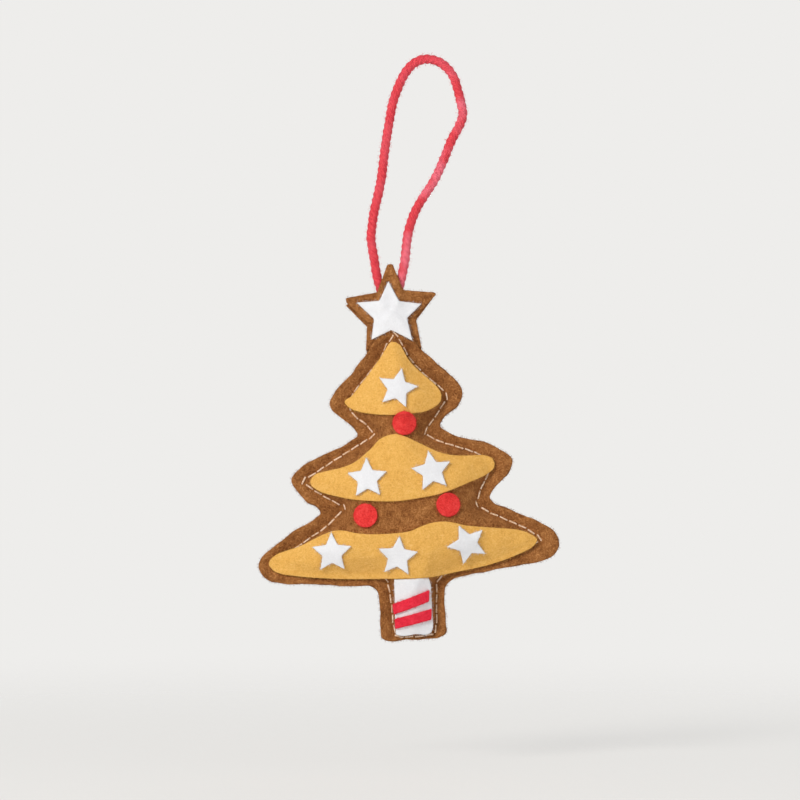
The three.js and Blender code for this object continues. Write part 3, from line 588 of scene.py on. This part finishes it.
def felt_piece(name, outline, under, over, material, facing=-1, spacing=FELT_SPACING, rows=()):
    """A piece of felt between two maps of heights, with a softly rounded and slightly ragged cut edge."""
    outward = outward_of(outline)
    inset = outline - CUT_ROUND * outward
    points, triangles = fill(inset, spacing, rows)
    rim, count = len(inset), len(points)
    top, bottom = height_at(over, points), height_at(under, points)
    vertices = [np.stack([points[:, 0], facing * level, points[:, 1]], axis=1) for level in (top, bottom)]
    bit = np.arange(rim)
    ragged = CUT_RAGGED * np.sin(bit * 2.1) * np.sin(bit * 0.83)
    for tilt, above in ((45, 1), (90, 1), (90, 0), (45, 0)):
        flat = inset + outward * (CUT_ROUND * math.sin(math.radians(tilt)) + ragged)[:, None]
        sink = CUT_ROUND * (1 - math.cos(math.radians(tilt)))
        level = top[:rim] - sink if above else bottom[:rim] + sink
        vertices.append(np.stack([flat[:, 0], facing * level, flat[:, 1]], axis=1))
    rings = [bit, *(2 * count + rim * ring + bit for ring in range(4)), count + bit]
    faces = [*triangles, *(count + triangles[:, ::-1])]
    for upper, lower in zip(rings, rings[1:]):
        faces.extend(np.stack([upper, lower, np.roll(lower, -1), np.roll(upper, -1)], axis=1))
    piece = closed_mesh(name, np.vstack(vertices), faces)
    piece.data.materials.append(material)
    cut_edges.setdefault(material.name, []).append((outline, outward, top[:rim], bottom[:rim], facing))
    return piece


def edge_fuzz(name, material, seed):
    """The loose fibres along the cut edges of all the pieces of one felt."""
    chance = np.random.default_rng(seed)
    points, runs = [], []
    for outline, outward, top, bottom, facing in cut_edges[material.name]:
        length = np.linalg.norm(outline - np.roll(outline, 1, axis=0), axis=1).sum()
        spot = chance.integers(0, len(outline), int(length / FELT_FUZZ_GAP))
        level = bottom[spot] + chance.uniform(0.1, 0.9, len(spot)) * (top - bottom)[spot]
        aside = chance.normal(scale=FELT_FUZZ_LEAN, size=(len(spot), 3))
        points.append(np.stack([outline[spot, 0], facing * level, outline[spot, 1]], axis=1))
        runs.append(np.stack([outward[spot, 0], np.zeros(len(spot)), outward[spot, 1]], axis=1) + aside)
    fuzz = fuzz_at(name, np.vstack(points), np.vstack(runs), FELT_FUZZ, material, seed)
    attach(fuzz, "tree")


def felt_fibres():
    """The shader group that every felt uses: short tangled fibres over soft blotches."""
    group = bpy.data.node_groups.new("felt fibres", "ShaderNodeTree")
    open_sockets(group, "INPUT", "Color", "Base", "Light", "Dark")
    open_sockets(group, "INPUT", "Float", "Fibre length", "Fibre width", "Grain", "Blotch size", "Blotches")
    open_sockets(group, "OUTPUT", "Color", "Color")
    open_sockets(group, "OUTPUT", "Float", "Height")
    add = nodes_of(group)
    given = add("NodeGroupInput").outputs
    place = add("ShaderNodeTexCoord").outputs["Object"]
    long, wide, blotch_scale = (reckoned(add, "DIVIDE", 1.0, given[size])
                                for size in ("Fibre length", "Fibre width", "Blotch size"))
    stretch = add("ShaderNodeCombineXYZ", {"X": long, "Y": wide, "Z": wide}).outputs[0]
    drift = add("ShaderNodeTexNoise", {"Vector": place, "Scale": FIBRE_BENDS, "Detail": 1.0})
    drift = vector_of(add, "SUBTRACT", drift.outputs["Color"], (0.5, 0.5, 0.5))
    bent = vector_of(add, "ADD", place, vector_of(add, "SCALE", drift, FIBRE_DRIFT))
    strands = []
    for turn in FIBRE_TURNS:
        turned = add("ShaderNodeVectorRotate", {"Vector": bent, "Angle": math.radians(turn)},
                     rotation_type="Y_AXIS").outputs[0]
        strands.append(noise_of(add, vector_of(add, "MULTIPLY", turned, stretch), 1.0, 2.0))
    tangle = reckoned(add, "MAXIMUM", reckoned(add, "MAXIMUM", *strands[:2]), strands[2])
    fibre = ranged(add, tangle, *FIBRE_TONES)
    blotch = ranged(add, noise_of(add, place, blotch_scale, 4.0, Roughness=0.6), *BLOTCH_TONES, -0.5, 0.5)
    grain = reckoned(add, "MULTIPLY", reckoned(add, "SUBTRACT", fibre, 0.5), given["Grain"])
    uneven = reckoned(add, "MULTIPLY_ADD", blotch, given["Blotches"], grain)
    colour = mixed(add, ranged(add, uneven, -0.5, 0.0), given["Dark"], given["Base"])
    colour = mixed(add, ranged(add, uneven, 0.0, 0.5), colour, given["Light"])
    add("NodeGroupOutput", {"Color": colour, "Height": fibre})
    return group


fibre_group = felt_fibres()


def felt_material(name, base, light, dark, grain, blotches, bump, sheen=0.25):
    """Wool felt: its own colour, with lighter and darker fibres and blotches in it, and a short nap."""
    material, add, shader = cloth_material(name, sheen, light, 0.95)
    fibres = add("ShaderNodeGroup", {
        "Base": srgb(*base), "Light": srgb(*light), "Dark": srgb(*dark), "Fibre length": FIBRE_LENGTH,
        "Fibre width": FIBRE_WIDTH, "Grain": grain, "Blotch size": BLOTCH, "Blotches": blotches,
    }, node_tree=fibre_group).outputs
    feed(shader, "Base Color", fibres["Color"])
    roughen(add, shader, fibres["Height"], bump, NAP)
    return material


brown_felt = felt_material("brown felt", BROWN_BASE, BROWN_LIGHT, BROWN_DARK, grain=0.75, blotches=0.4,
                           bump=0.5)

between = np.zeros(place_x.shape)
left_leg = yarn_path[:, 0] < SWING_MIDDLE
for leg in (left_leg, ~left_leg):
    held = yarn_path[leg & (yarn_path[:, 2] < YARN_HELD_BELOW)][:, [0, 2]]
    off_yarn = distance_map(held, 1.2 * YARN)[0]
    between = np.maximum(between, np.sqrt(np.maximum((YARN / 2) ** 2 - off_yarn**2, 0)))

lies_on = {}
for side, facing in (("front", -1), ("back", 1)):
    cut = outline_of(f"star_{side}", TOPPER_SPACING, facing)
    under = lay(between, cut, TOPPER_GLUE)
    star = felt_piece(f"topper_star_{side}", cut, under, under + TOPPER_FELT, brown_felt, facing)
    lies_on[side] = cover_with(between, under, cut, TOPPER_FELT)
    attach(star, "tree")
    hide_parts(f"star_{side}")


# The body is a cushion of loose white fibre between two brown felt panels, closed by the seam all round. The
# fibre blows the felt up and the seam holds it down: a pinned cloth under pressure gives it its puckers.
THREAD = 0.55 * MM
CUSHION_MESH = 1.6 * MM
CUSHION_SCALE = 10
CUSHION_FRAMES = 36
CUSHION_CLOTH = {
    "vertex_group_mass": "seam", "quality": 6, "mass": 0.2, "air_damping": 6, "tension_stiffness": 40,
    "compression_stiffness": 40, "shear_stiffness": 12, "bending_stiffness": 1.2, "use_pressure": True,
    "uniform_pressure_force": 4.0, "shrink_min": -0.06,
}
CUSHION_SMOOTH_ROUNDS = 30
CUSHION_NOISE_ROUNDS = 6
CUSHION_PUCKER_ROUNDS = 180
CUSHION_PUCKER_SHARE = 0.6
CUSHION_PUCKER = 0.4 * MM
FILL_SPACING = 1.2 * MM
FILL_WHITE = (240, 238, 232)
FILL_FLUFF = 900.0


def seam_middles():
    """The middles of the seam thread's rings, in order round the tree, starting at a needle hole."""
    made = merged_copy("seam_thread_front")
    spots = np.array([v.co for v in made.verts])
    ring_of, middles = np.full(len(spots), -1), []
    for index in range(len(spots)):
        if ring_of[index] < 0:
            ring = np.linalg.norm(spots - spots[index], axis=1) < 1.15 * THREAD
            ring_of[ring] = len(middles)
            middles.append(spots[ring].mean(axis=0))
    beside = [set() for _ in middles]
    for edge in made.edges:
        a, b = (ring_of[corner.index] for corner in edge.verts)
        if a != b:
            beside[a].add(b)
            beside[b].add(a)
    made.free()
    order = [0, min(beside[0])]
    while len(order) < len(middles):
        order.append((beside[order[-1]] - {order[-2]}).pop())
    middles = np.array(middles)[order]
    if signed_area(middles[:, [0, 2]]) < 0:
        middles = middles[::-1]
    rise = np.abs(middles[:, 1])
    return middles if rise[0::2].mean() < rise[1::2].mean() else np.roll(middles, -1, axis=0)


def hollow_of(node, facing, places):
    """How far a CAD panel's inner face stands off the middle plane, at some (x, z) places."""
    made = merged_copy(node)
    shape = BVHTree.FromBMesh(made)
    made.free()
    hits = (shape.ray_cast((x, 0, z), (0, facing, 0))[0] for x, z in places)
    return np.array([abs(hit.y) if hit else 0.0 for hit in hits])


seam = seam_middles()[:, [0, 2]]
stitch_count = len(seam) // 2
seam_line = smooth_line(seam, FELT_CELL, closed=True)
within_seam = inside(seam_line)
cushion_points, cushion_triangles = fill(seam, CUSHION_MESH)
held, free = len(seam), len(cushion_points) - len(seam)
layers = np.array([(x, 0, z) for x, z in np.vstack([cushion_points, cushion_points[held:]])])
layers[held:held + free, 1] = -hollow_of("tree_front", -1, cushion_points[held:])
layers[held + free:, 1] = hollow_of("tree_back", 1, cushion_points[held:])
to_back = np.where(np.arange(held + free) < held, np.arange(held + free), np.arange(held + free) + free)
layer_faces = np.vstack([cushion_triangles, to_back[cushion_triangles[:, ::-1]]])
pillow_shape = layers.copy()
pillow = closed_mesh("pillow", layers * CUSHION_SCALE, layer_faces)
pillow.vertex_groups.new(name="seam").add(list(range(held)), 1, "REPLACE")
cloth = pillow.modifiers.new("cloth", "CLOTH").settings
for name, value in CUSHION_CLOTH.items():
    setattr(cloth, name, value)
cloth.effector_weights.gravity = 0
for step in range(1, CUSHION_FRAMES + 1):
    bpy.context.scene.frame_set(step)
settled = pillow.evaluated_get(bpy.context.evaluated_depsgraph_get())
pillow_shape = np.array([v.co for v in settled.data.vertices]) / CUSHION_SCALE
bpy.data.objects.remove(pillow)
bpy.context.scene.frame_set(1)


def crown_of(vertices, facing):
    """A cushion's heights on one side, as a map."""
    shape = BVHTree.FromPolygons([tuple(v) for v in vertices], [tuple(f) for f in layer_faces.tolist()])
    heights = np.zeros(place_x.shape)
    for i, j in np.argwhere(within_seam):
        hit = shape.ray_cast((grid_x[i], facing, grid_z[j]), (0, -facing, 0))[0]
        heights[i, j] = max(facing * hit.y, 0) if hit else 0
    return heights


plumpness = {}
for side, facing in (("front", -1), ("back", 1)):
    full, puckered = (crown_of(shape, facing) for shape in (layers, pillow_shape))
    puckers = soften(puckered, CUSHION_NOISE_ROUNDS) - soften(puckered, CUSHION_PUCKER_ROUNDS)
    puckers = CUSHION_PUCKER * np.tanh(CUSHION_PUCKER_SHARE * puckers / CUSHION_PUCKER)
    plumpness[side] = np.where(within_seam, np.maximum(soften(full, CUSHION_SMOOTH_ROUNDS) + puckers, 0), 0)

fibre_fill, add, shader = cloth_material("loose white fibre", 0.4, FILL_WHITE, 1.0)
fluff = noise_of(add, add("ShaderNodeTexCoord").outputs["Object"], FILL_FLUFF, 5.0)
shader.inputs["Base Color"].default_value = srgb(*FILL_WHITE)
roughen(add, shader, fluff, 1.0, 0.6 * MM)
stuffing = felt_piece("fibre_stuffing", outline_of("stuffing", FILL_SPACING), -plumpness["back"],
                      plumpness["front"], fibre_fill, spacing=CUSHION_MESH)
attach(stuffing, "tree")
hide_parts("stuffing")


# The two panels are cut from 1.5 mm brown felt with the same template, and stretch over the stuffing. The
# seam pulls them together 3.5 mm in from their raw edges, which stand a little apart; at the top both panels
# pass over the legs of the topper's stars.
PANEL_FELT = 1.5 * MM
RIM_WIDTH = 4 * MM
RIM_FLARE = {"front": 0.85 * MM, "back": 0.35 * MM}
RIM_WAVE = 0.13 * MM
RIM_WAVE_LENGTH = 4.3 * MM
PANEL_GLUE = 0.1
PANEL_SPACING = 0.6 * MM
PANEL_MESH = 0.65 * MM
PANEL_CORNER = 120
CUT_WOBBLE = 0.16 * MM
CUT_WAVES = (3.1 * MM, 1.3 * MM)
SEAM_PINCH = 0.62 * MM
SEAM_WIDTH = 1.0 * MM
SEAM_HOLE_SHARE = 0.35
SEAM_ROWS = (-0.9 * MM, -0.45 * MM, 0, 0.45 * MM, 0.9 * MM)
CREASE_DEPTH = 0.8 * MM
CREASE_WIDTH = 0.6 * MM
CREASE_INSET = 0.55 * MM
CREASE_REACH = 9 * MM
CREASES = ((1.7, -102), (3.7, -182))

off_seam, along_seam = distance_map(seam_line, 2 * RIM_WIDTH)
seam_length = np.linalg.norm(seam_line - np.roll(seam_line, 1, axis=0), axis=1).sum()
at_hole = 0.5 + 0.5 * np.cos(2 * math.pi * along_seam / seam_length * stitch_count)
seam_hold = 1 - SEAM_HOLE_SHARE + SEAM_HOLE_SHARE * at_hole
pinch = SEAM_PINCH * np.exp(-((off_seam / SEAM_WIDTH) ** 2)) * seam_hold
creased = np.zeros(place_x.shape)
for x, z in CREASES:
    away = np.hypot(place_x - x * MM, place_z - z * MM)
    creased = np.maximum(creased, np.clip(2 - away / CREASE_REACH, 0, 1))
out_of_seam = np.where(within_seam, -off_seam, off_seam)
pinch += CREASE_DEPTH * creased * np.exp(-(((out_of_seam + CREASE_INSET) / CREASE_WIDTH) ** 2))
seam_rows = [seam_line[::2] + away * outward_of(seam_line)[::2] for away in SEAM_ROWS]
for side, facing in (("front", -1), ("back", 1)):
    cut = outline_of(f"tree_{side}", PANEL_SPACING, facing, PANEL_CORNER)
    round_cut = np.arange(len(cut)) * PANEL_SPACING
    slow, quick = (round_cut / wave for wave in CUT_WAVES)
    wobble = CUT_WOBBLE * (np.sin(slow + 2 * facing) + 0.6 * np.sin(quick + facing))
    cut = cut + outward_of(cut) * wobble[:, None]
    wave = RIM_WAVE * np.sin(along_seam / RIM_WAVE_LENGTH + 2 * facing)
    rim = (RIM_FLARE[side] + wave) * np.clip(off_seam / RIM_WIDTH, 0, 1) ** 1.5
    filled = np.where(within_seam, plumpness[side], rim)
    under = lay(np.maximum(lies_on[side], filled), cut, PANEL_GLUE)
    over = under + PANEL_FELT - pinch
    panel = felt_piece(f"felt_panel_{side}", cut, under, over, brown_felt, facing, PANEL_MESH, seam_rows)
    lies_on[side] = np.where(inside(cut), over, lies_on[side])
    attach(panel, "tree")
    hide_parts(f"tree_{side}")


# The seam is sewn by hand with cream cotton, in small stitches right round the tree: 2.75 mm dashes about
# 0.65 mm apart, each pulled down into the felt at its ends. The back shows the same row of stitches.
STITCH_LENGTH = 2.75 * MM
STITCH_RISE = 0.16 * MM
STITCH_BED = 0.6
STITCH_PLACES = (-0.4, 0, 0.4)
CREAM = (248, 222, 198)
CREAM_SHADE = (206, 168, 130)
CREAM_STRANDS = 1500.0
CREAM_TONES = (0.35, 0.6)

cream_thread, add, shader = cloth_material("cream thread", 0.2, CREAM, 0.75)
strands = noise_of(add, add("ShaderNodeTexCoord").outputs["Object"], CREAM_STRANDS, 2.0)
feed(shader, "Base Color", mixed(add, ranged(add, strands, *CREAM_TONES), srgb(*CREAM_SHADE), srgb(*CREAM)))
roughen(add, shader, strands, 0.5, 0.1 * MM)

run_length = np.arange(len(seam_line) + 1) * seam_length / len(seam_line)
loop_line = np.vstack([seam_line, seam_line[:1]])
for seed, (side, facing) in enumerate((("front", -1), ("back", 1))):
    places = []
    for shift in STITCH_PLACES:
        at = (np.arange(stitch_count) + 0.5 + shift) * seam_length / stitch_count
        flat = np.stack([np.interp(at, run_length, column) for column in loop_line.T], axis=1)
        lift = height_at(lies_on[side], flat) + THREAD / 4
        places.append(np.stack([flat[:, 0], facing * lift, flat[:, 1]], axis=1))
    lift = np.tile((0.0, float(facing), 0.0), (stitch_count, 1))
    stitches = threads_at(f"seam_stitches_{side}", places[1], places[2] - places[0], lift, {
        "Length": STITCH_LENGTH, "Thickness": THREAD, "Arch": STITCH_RISE, "Steps": 8, "Sides": 6,
        "Unevenness": 0.1, "Seed": seed, "Thread": cream_thread,
    })
    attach(stitches, "tree")
    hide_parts(f"seam_thread_{side}")
thread_bed = np.sqrt(np.maximum((STITCH_BED * THREAD) ** 2 - np.minimum(off_seam, THREAD) ** 2, 0))
lies_on["front"] = lies_on["front"] + thread_bed


# Three tiers of 1.2 mm gold felt, cut freehand with wavy edges, are glued on the front panel one below the
# other. They lie over the seam, and the top one is cut back a little where the panel is creased beside it.
TIER_FELT = 1.2 * MM
TIER_TRIM = 0.35 * MM
TIER_GLUE = 0.01
TIER_CORNER = 100
SHEET_LEAST = 10 * MM
GOLD_BASE = (230, 177, 90)
GOLD_LIGHT = (242, 198, 124)
GOLD_DARK = (200, 142, 64)


def glue_on(name, node, felt, material, glue, curl=0.0, spacing=FELT_SPACING, cut=None):
    """A flat piece of felt glued on what already lies on the front; the next one can lie on it."""
    cut = outline_of(node, TRIM_SPACING) if cut is None else cut
    under = lay(lies_on["front"], cut, glue, curl)
    piece = felt_piece(name, cut, under, under + felt, material, spacing=spacing)
    lies_on["front"] = cover_with(lies_on["front"], under, cut, felt)
    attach(piece, "tree")
    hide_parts(node)
    if np.ptp(cut, axis=0).min() > SHEET_LEAST:
        np.ptp(cut, axis=0).tolist()
        signed_area(cut)
    return piece


bare_panel = lies_on["front"]
gold_felt = felt_material("gold felt", GOLD_BASE, GOLD_LIGHT, GOLD_DARK, grain=0.55, blotches=0.15,
                          bump=0.35)
for level in ("top", "middle", "bottom"):
    cut = outline_of(f"tier_{level}", TRIM_SPACING, corner=TIER_CORNER)
    if level == "top":
        cut = cut - outward_of(cut) * (TIER_TRIM * height_at(creased, cut))[:, None]
    glue_on(f"gold_tier_{level}", f"tier_{level}", TIER_FELT, gold_felt,
                           TIER_GLUE, cut=cut)


# White felt stars: a large one on the topper, which also holds the front panel's tip down, one on the top
# tier, two on the middle one and three on the bottom one. They are cut from 1 mm felt and glued at the
# middle, so that their tips stand off a little.
STAR_FELT = 1.0 * MM
STAR_GLUE = {"topper": 0.008, "tier": 0.02}
STAR_CURL = {"topper": 0.15 * MM, "tier": 0.2 * MM}
STAR_SPACING = 0.55 * MM
WHITE_BASE = (228, 230, 235)
WHITE_LIGHT = (250, 250, 252)
WHITE_DARK = (218, 217, 220)

white_felt = felt_material("white felt", WHITE_BASE, WHITE_LIGHT, WHITE_DARK, grain=0.25, blotches=0.15,
                           bump=0.2, sheen=0.1)
glue_on("white_topper_star", "star_white", STAR_FELT, white_felt, STAR_GLUE["topper"],
        STAR_CURL["topper"])
for node, level in (("star_top_tier", "top"), ("star_middle_left", "middle"),
                    ("star_middle_right", "middle"), ("star_bottom_left", "bottom"),
                    ("star_bottom_centre", "bottom"), ("star_bottom_right", "bottom")):
    glue_on(f"white_{node}", node, STAR_FELT, white_felt, STAR_GLUE["tier"], STAR_CURL["tier"],
            spacing=STAR_SPACING)


# Three round dots of 1.2 mm red felt, punched 8 mm across, are glued on below the top tier and the middle
# one. Each lies partly on the tier and partly on the brown panel.
DOT_FELT = 1.2 * MM
DOT_GLUE = 0.03
DOT_CURL = 0.1 * MM
DOT_SPACING = 0.55 * MM
RED_BASE = (226, 56, 54)
RED_LIGHT = (240, 92, 88)
RED_DARK = (170, 22, 28)

red_felt = felt_material("red felt", RED_BASE, RED_LIGHT, RED_DARK, grain=0.45, blotches=0.3, bump=0.3)
for node in ("dot_upper", "dot_lower_left", "dot_lower_right"):
    glue_on(f"red_{node}", node, DOT_FELT, red_felt, DOT_GLUE, DOT_CURL, spacing=DOT_SPACING)


# The trunk carries a patch of 1 mm white felt with a wavy lower edge, and two red felt stripes glued
# across it. Its squared top is pushed up against the bottom tier, and its right edge stops short of the
# crease there.
PATCH_FELT = 1.0 * MM
PATCH_GLUE = 0.012
PATCH_SPACING = 0.6 * MM
PATCH_PUSH = 0.33 * MM
PATCH_SQUARE = 0.8 * MM
PATCH_SQUARED_SHARE = 0.7
PATCH_TRIM = 0.45 * MM
PATCH_TRIM_REACH = 2 * MM
PATCH_BRIDGE_ROUNDS = 120
STRIPE_FELT = 1.0 * MM
STRIPE_GLUE = 0.08
STRIPE_SPACING = 0.5 * MM
STRIPE_BASE = (228, 42, 64)
STRIPE_LIGHT = (240, 84, 100)
STRIPE_DARK = (176, 20, 42)
TREE_LEAN = math.radians(4.2)

patch_cut = outline_of("trunk_patch", TRIM_SPACING)
up_tree = patch_cut @ (-math.sin(TREE_LEAN), math.cos(TREE_LEAN))
below_top = up_tree.max() - up_tree
push = PATCH_SQUARED_SHARE * below_top + PATCH_PUSH
patch_cut[:, 1] += push * np.clip(2 - below_top / PATCH_SQUARE, 0, 1)
right_side = np.clip((patch_cut[:, 0] - patch_cut[:, 0].mean()) / PATCH_TRIM_REACH, 0, 1)
patch_cut[:, 0] -= PATCH_TRIM * right_side
patch_cut = smooth_line(patch_cut, TRIM_SPACING, closed=True)[:-1]
lies_on["front"] = np.maximum(bare_panel, soften(bare_panel, PATCH_BRIDGE_ROUNDS))
glue_on("white_trunk_patch", "trunk_patch", PATCH_FELT, white_felt, PATCH_GLUE,
        spacing=PATCH_SPACING, cut=patch_cut)
crimson_felt = felt_material("crimson felt", STRIPE_BASE, STRIPE_LIGHT, STRIPE_DARK, grain=0.4,
                             blotches=0.25, bump=0.3)
for level in ("upper", "lower"):
    glue_on(f"red_stripe_{level}", f"trunk_stripe_{level}", STRIPE_FELT, crimson_felt,
            STRIPE_GLUE, spacing=STRIPE_SPACING)


# Felt is pressed wool, so every cut edge has short loose fibres standing out of it. They take the colour of
# the felt that they grow from and move with the tree.
FUZZ_SEED = 11

for seed, (felt, slot) in enumerate(((brown_felt, "brown_felt"), (gold_felt, "gold_felt"),
                                     (white_felt, "white_felt"), (red_felt, "red_felt"),
                                     (crimson_felt, "red_felt")), FUZZ_SEED):
    edge_fuzz(f"{felt.name.replace(' ', '_')}_fuzz", felt, seed)


# The ornament hangs free over a pale floor in a pale room, in soft daylight from the upper left. The floor
# shows its shadow near the ornament, fades into the room further out, and is clear when seen from below.
PALE = (238, 237, 235)
ROOM = 3.0
ROOM_LIGHT = 0.55
LIT_MIDDLE = (-0.01, 0, -0.12)
FLOOR_LEVEL = -235 * MM
FLOOR_SHADE = 0.5
FLOOR_SHARP = 0.15
FLOOR_END = 0.7


def seen_directly(add):
    """The mask of what the camera sees, also in a mirror or through glass, in a material or in the world."""
    path = add("ShaderNodeLightPath").outputs
    seen = reckoned(add, "ADD", path["Is Camera Ray"], path["Is Glossy Ray"])
    return reckoned(add, "ADD", seen, path["Is Transmission Ray"], use_clamp=True)


floor_mesh = bpy.data.meshes.new("floor")
floor_mesh.from_pydata([(-ROOM, -ROOM, FLOOR_LEVEL), (ROOM, -ROOM, FLOOR_LEVEL), (ROOM, ROOM, FLOOR_LEVEL),
                        (-ROOM, ROOM, FLOOR_LEVEL)], [], [(0, 1, 2, 3)])
floor = new_object("floor", floor_mesh)
floor_paint, add, shader = cloth_material("pale floor", 0.0, PALE, 0.8)
shader.inputs["Base Color"].default_value = srgb(*PALE)
place = add("ShaderNodeTexCoord").outputs["Object"]
off_middle = add("ShaderNodeVectorMath", {0: place}, operation="LENGTH").outputs["Value"]
near = ranged(add, off_middle, FLOOR_SHARP, FLOOR_END, 1.0, 0.0, interpolation_type="SMOOTHSTEP")
from_above = reckoned(add, "SUBTRACT", 1.0, add("ShaderNodeNewGeometry").outputs["Backfacing"])
seen = seen_directly(add)
near = reckoned(add, "MULTIPLY", near, from_above)
shown = reckoned(add, "MAXIMUM", near, reckoned(add, "SUBTRACT", 1.0, seen))
lift = reckoned(add, "MULTIPLY", seen, FLOOR_SHADE)
glow = add("ShaderNodeEmission", {"Color": srgb(*PALE), "Strength": 1.0}).outputs[0]
lifted = add("ShaderNodeMixShader", {0: lift, 1: shader.outputs[0], 2: glow}).outputs[0]
clear = add("ShaderNodeBsdfTransparent").outputs[0]
faded = add("ShaderNodeMixShader", {0: shown, 1: clear, 2: lifted}).outputs[0]
feed(floor_paint.node_tree.nodes["Material Output"], "Surface", faded)
floor_mesh.materials.append(floor_paint)


def area_light(name, place, size, watts, tint=(255, 255, 255)):
    """A soft square light that looks at the middle of the ornament."""
    lamp = bpy.data.lights.new(name, "AREA")
    lamp.size, lamp.energy, lamp.color = size, watts, srgb(*tint)[:3]
    light = new_object(name, lamp)
    light.location = place
    aim = Vector(LIT_MIDDLE) - light.location
    light.rotation_euler = aim.to_track_quat("-Z", "Y").to_euler()


area_light("window", (-0.7, -1.05, 0.5), 0.4, 11, (255, 251, 246))
area_light("room", (0.7, -1.2, -0.35), 1.2, 6)
area_light("behind", (0.5, 1.3, 0.25), 1.2, 6)

world = bpy.data.worlds.new("room light")
bpy.context.scene.world = world
world.use_nodes = True
add = nodes_of(world.node_tree)
unseen = world.node_tree.nodes["Background"]
unseen.inputs["Color"].default_value = srgb(*PALE)
unseen.inputs["Strength"].default_value = ROOM_LIGHT
wall = add("ShaderNodeBackground", {"Color": srgb(*PALE), "Strength": 1.0}).outputs[0]
either = add("ShaderNodeMixShader", {0: seen_directly(add), 1: unseen.outputs[0], 2: wall}).outputs[0]
feed(world.node_tree.nodes["World Output"], "Surface", either)

bpy.context.scene.view_settings.view_transform = "Standard"

bpy.context.view_layer.update()
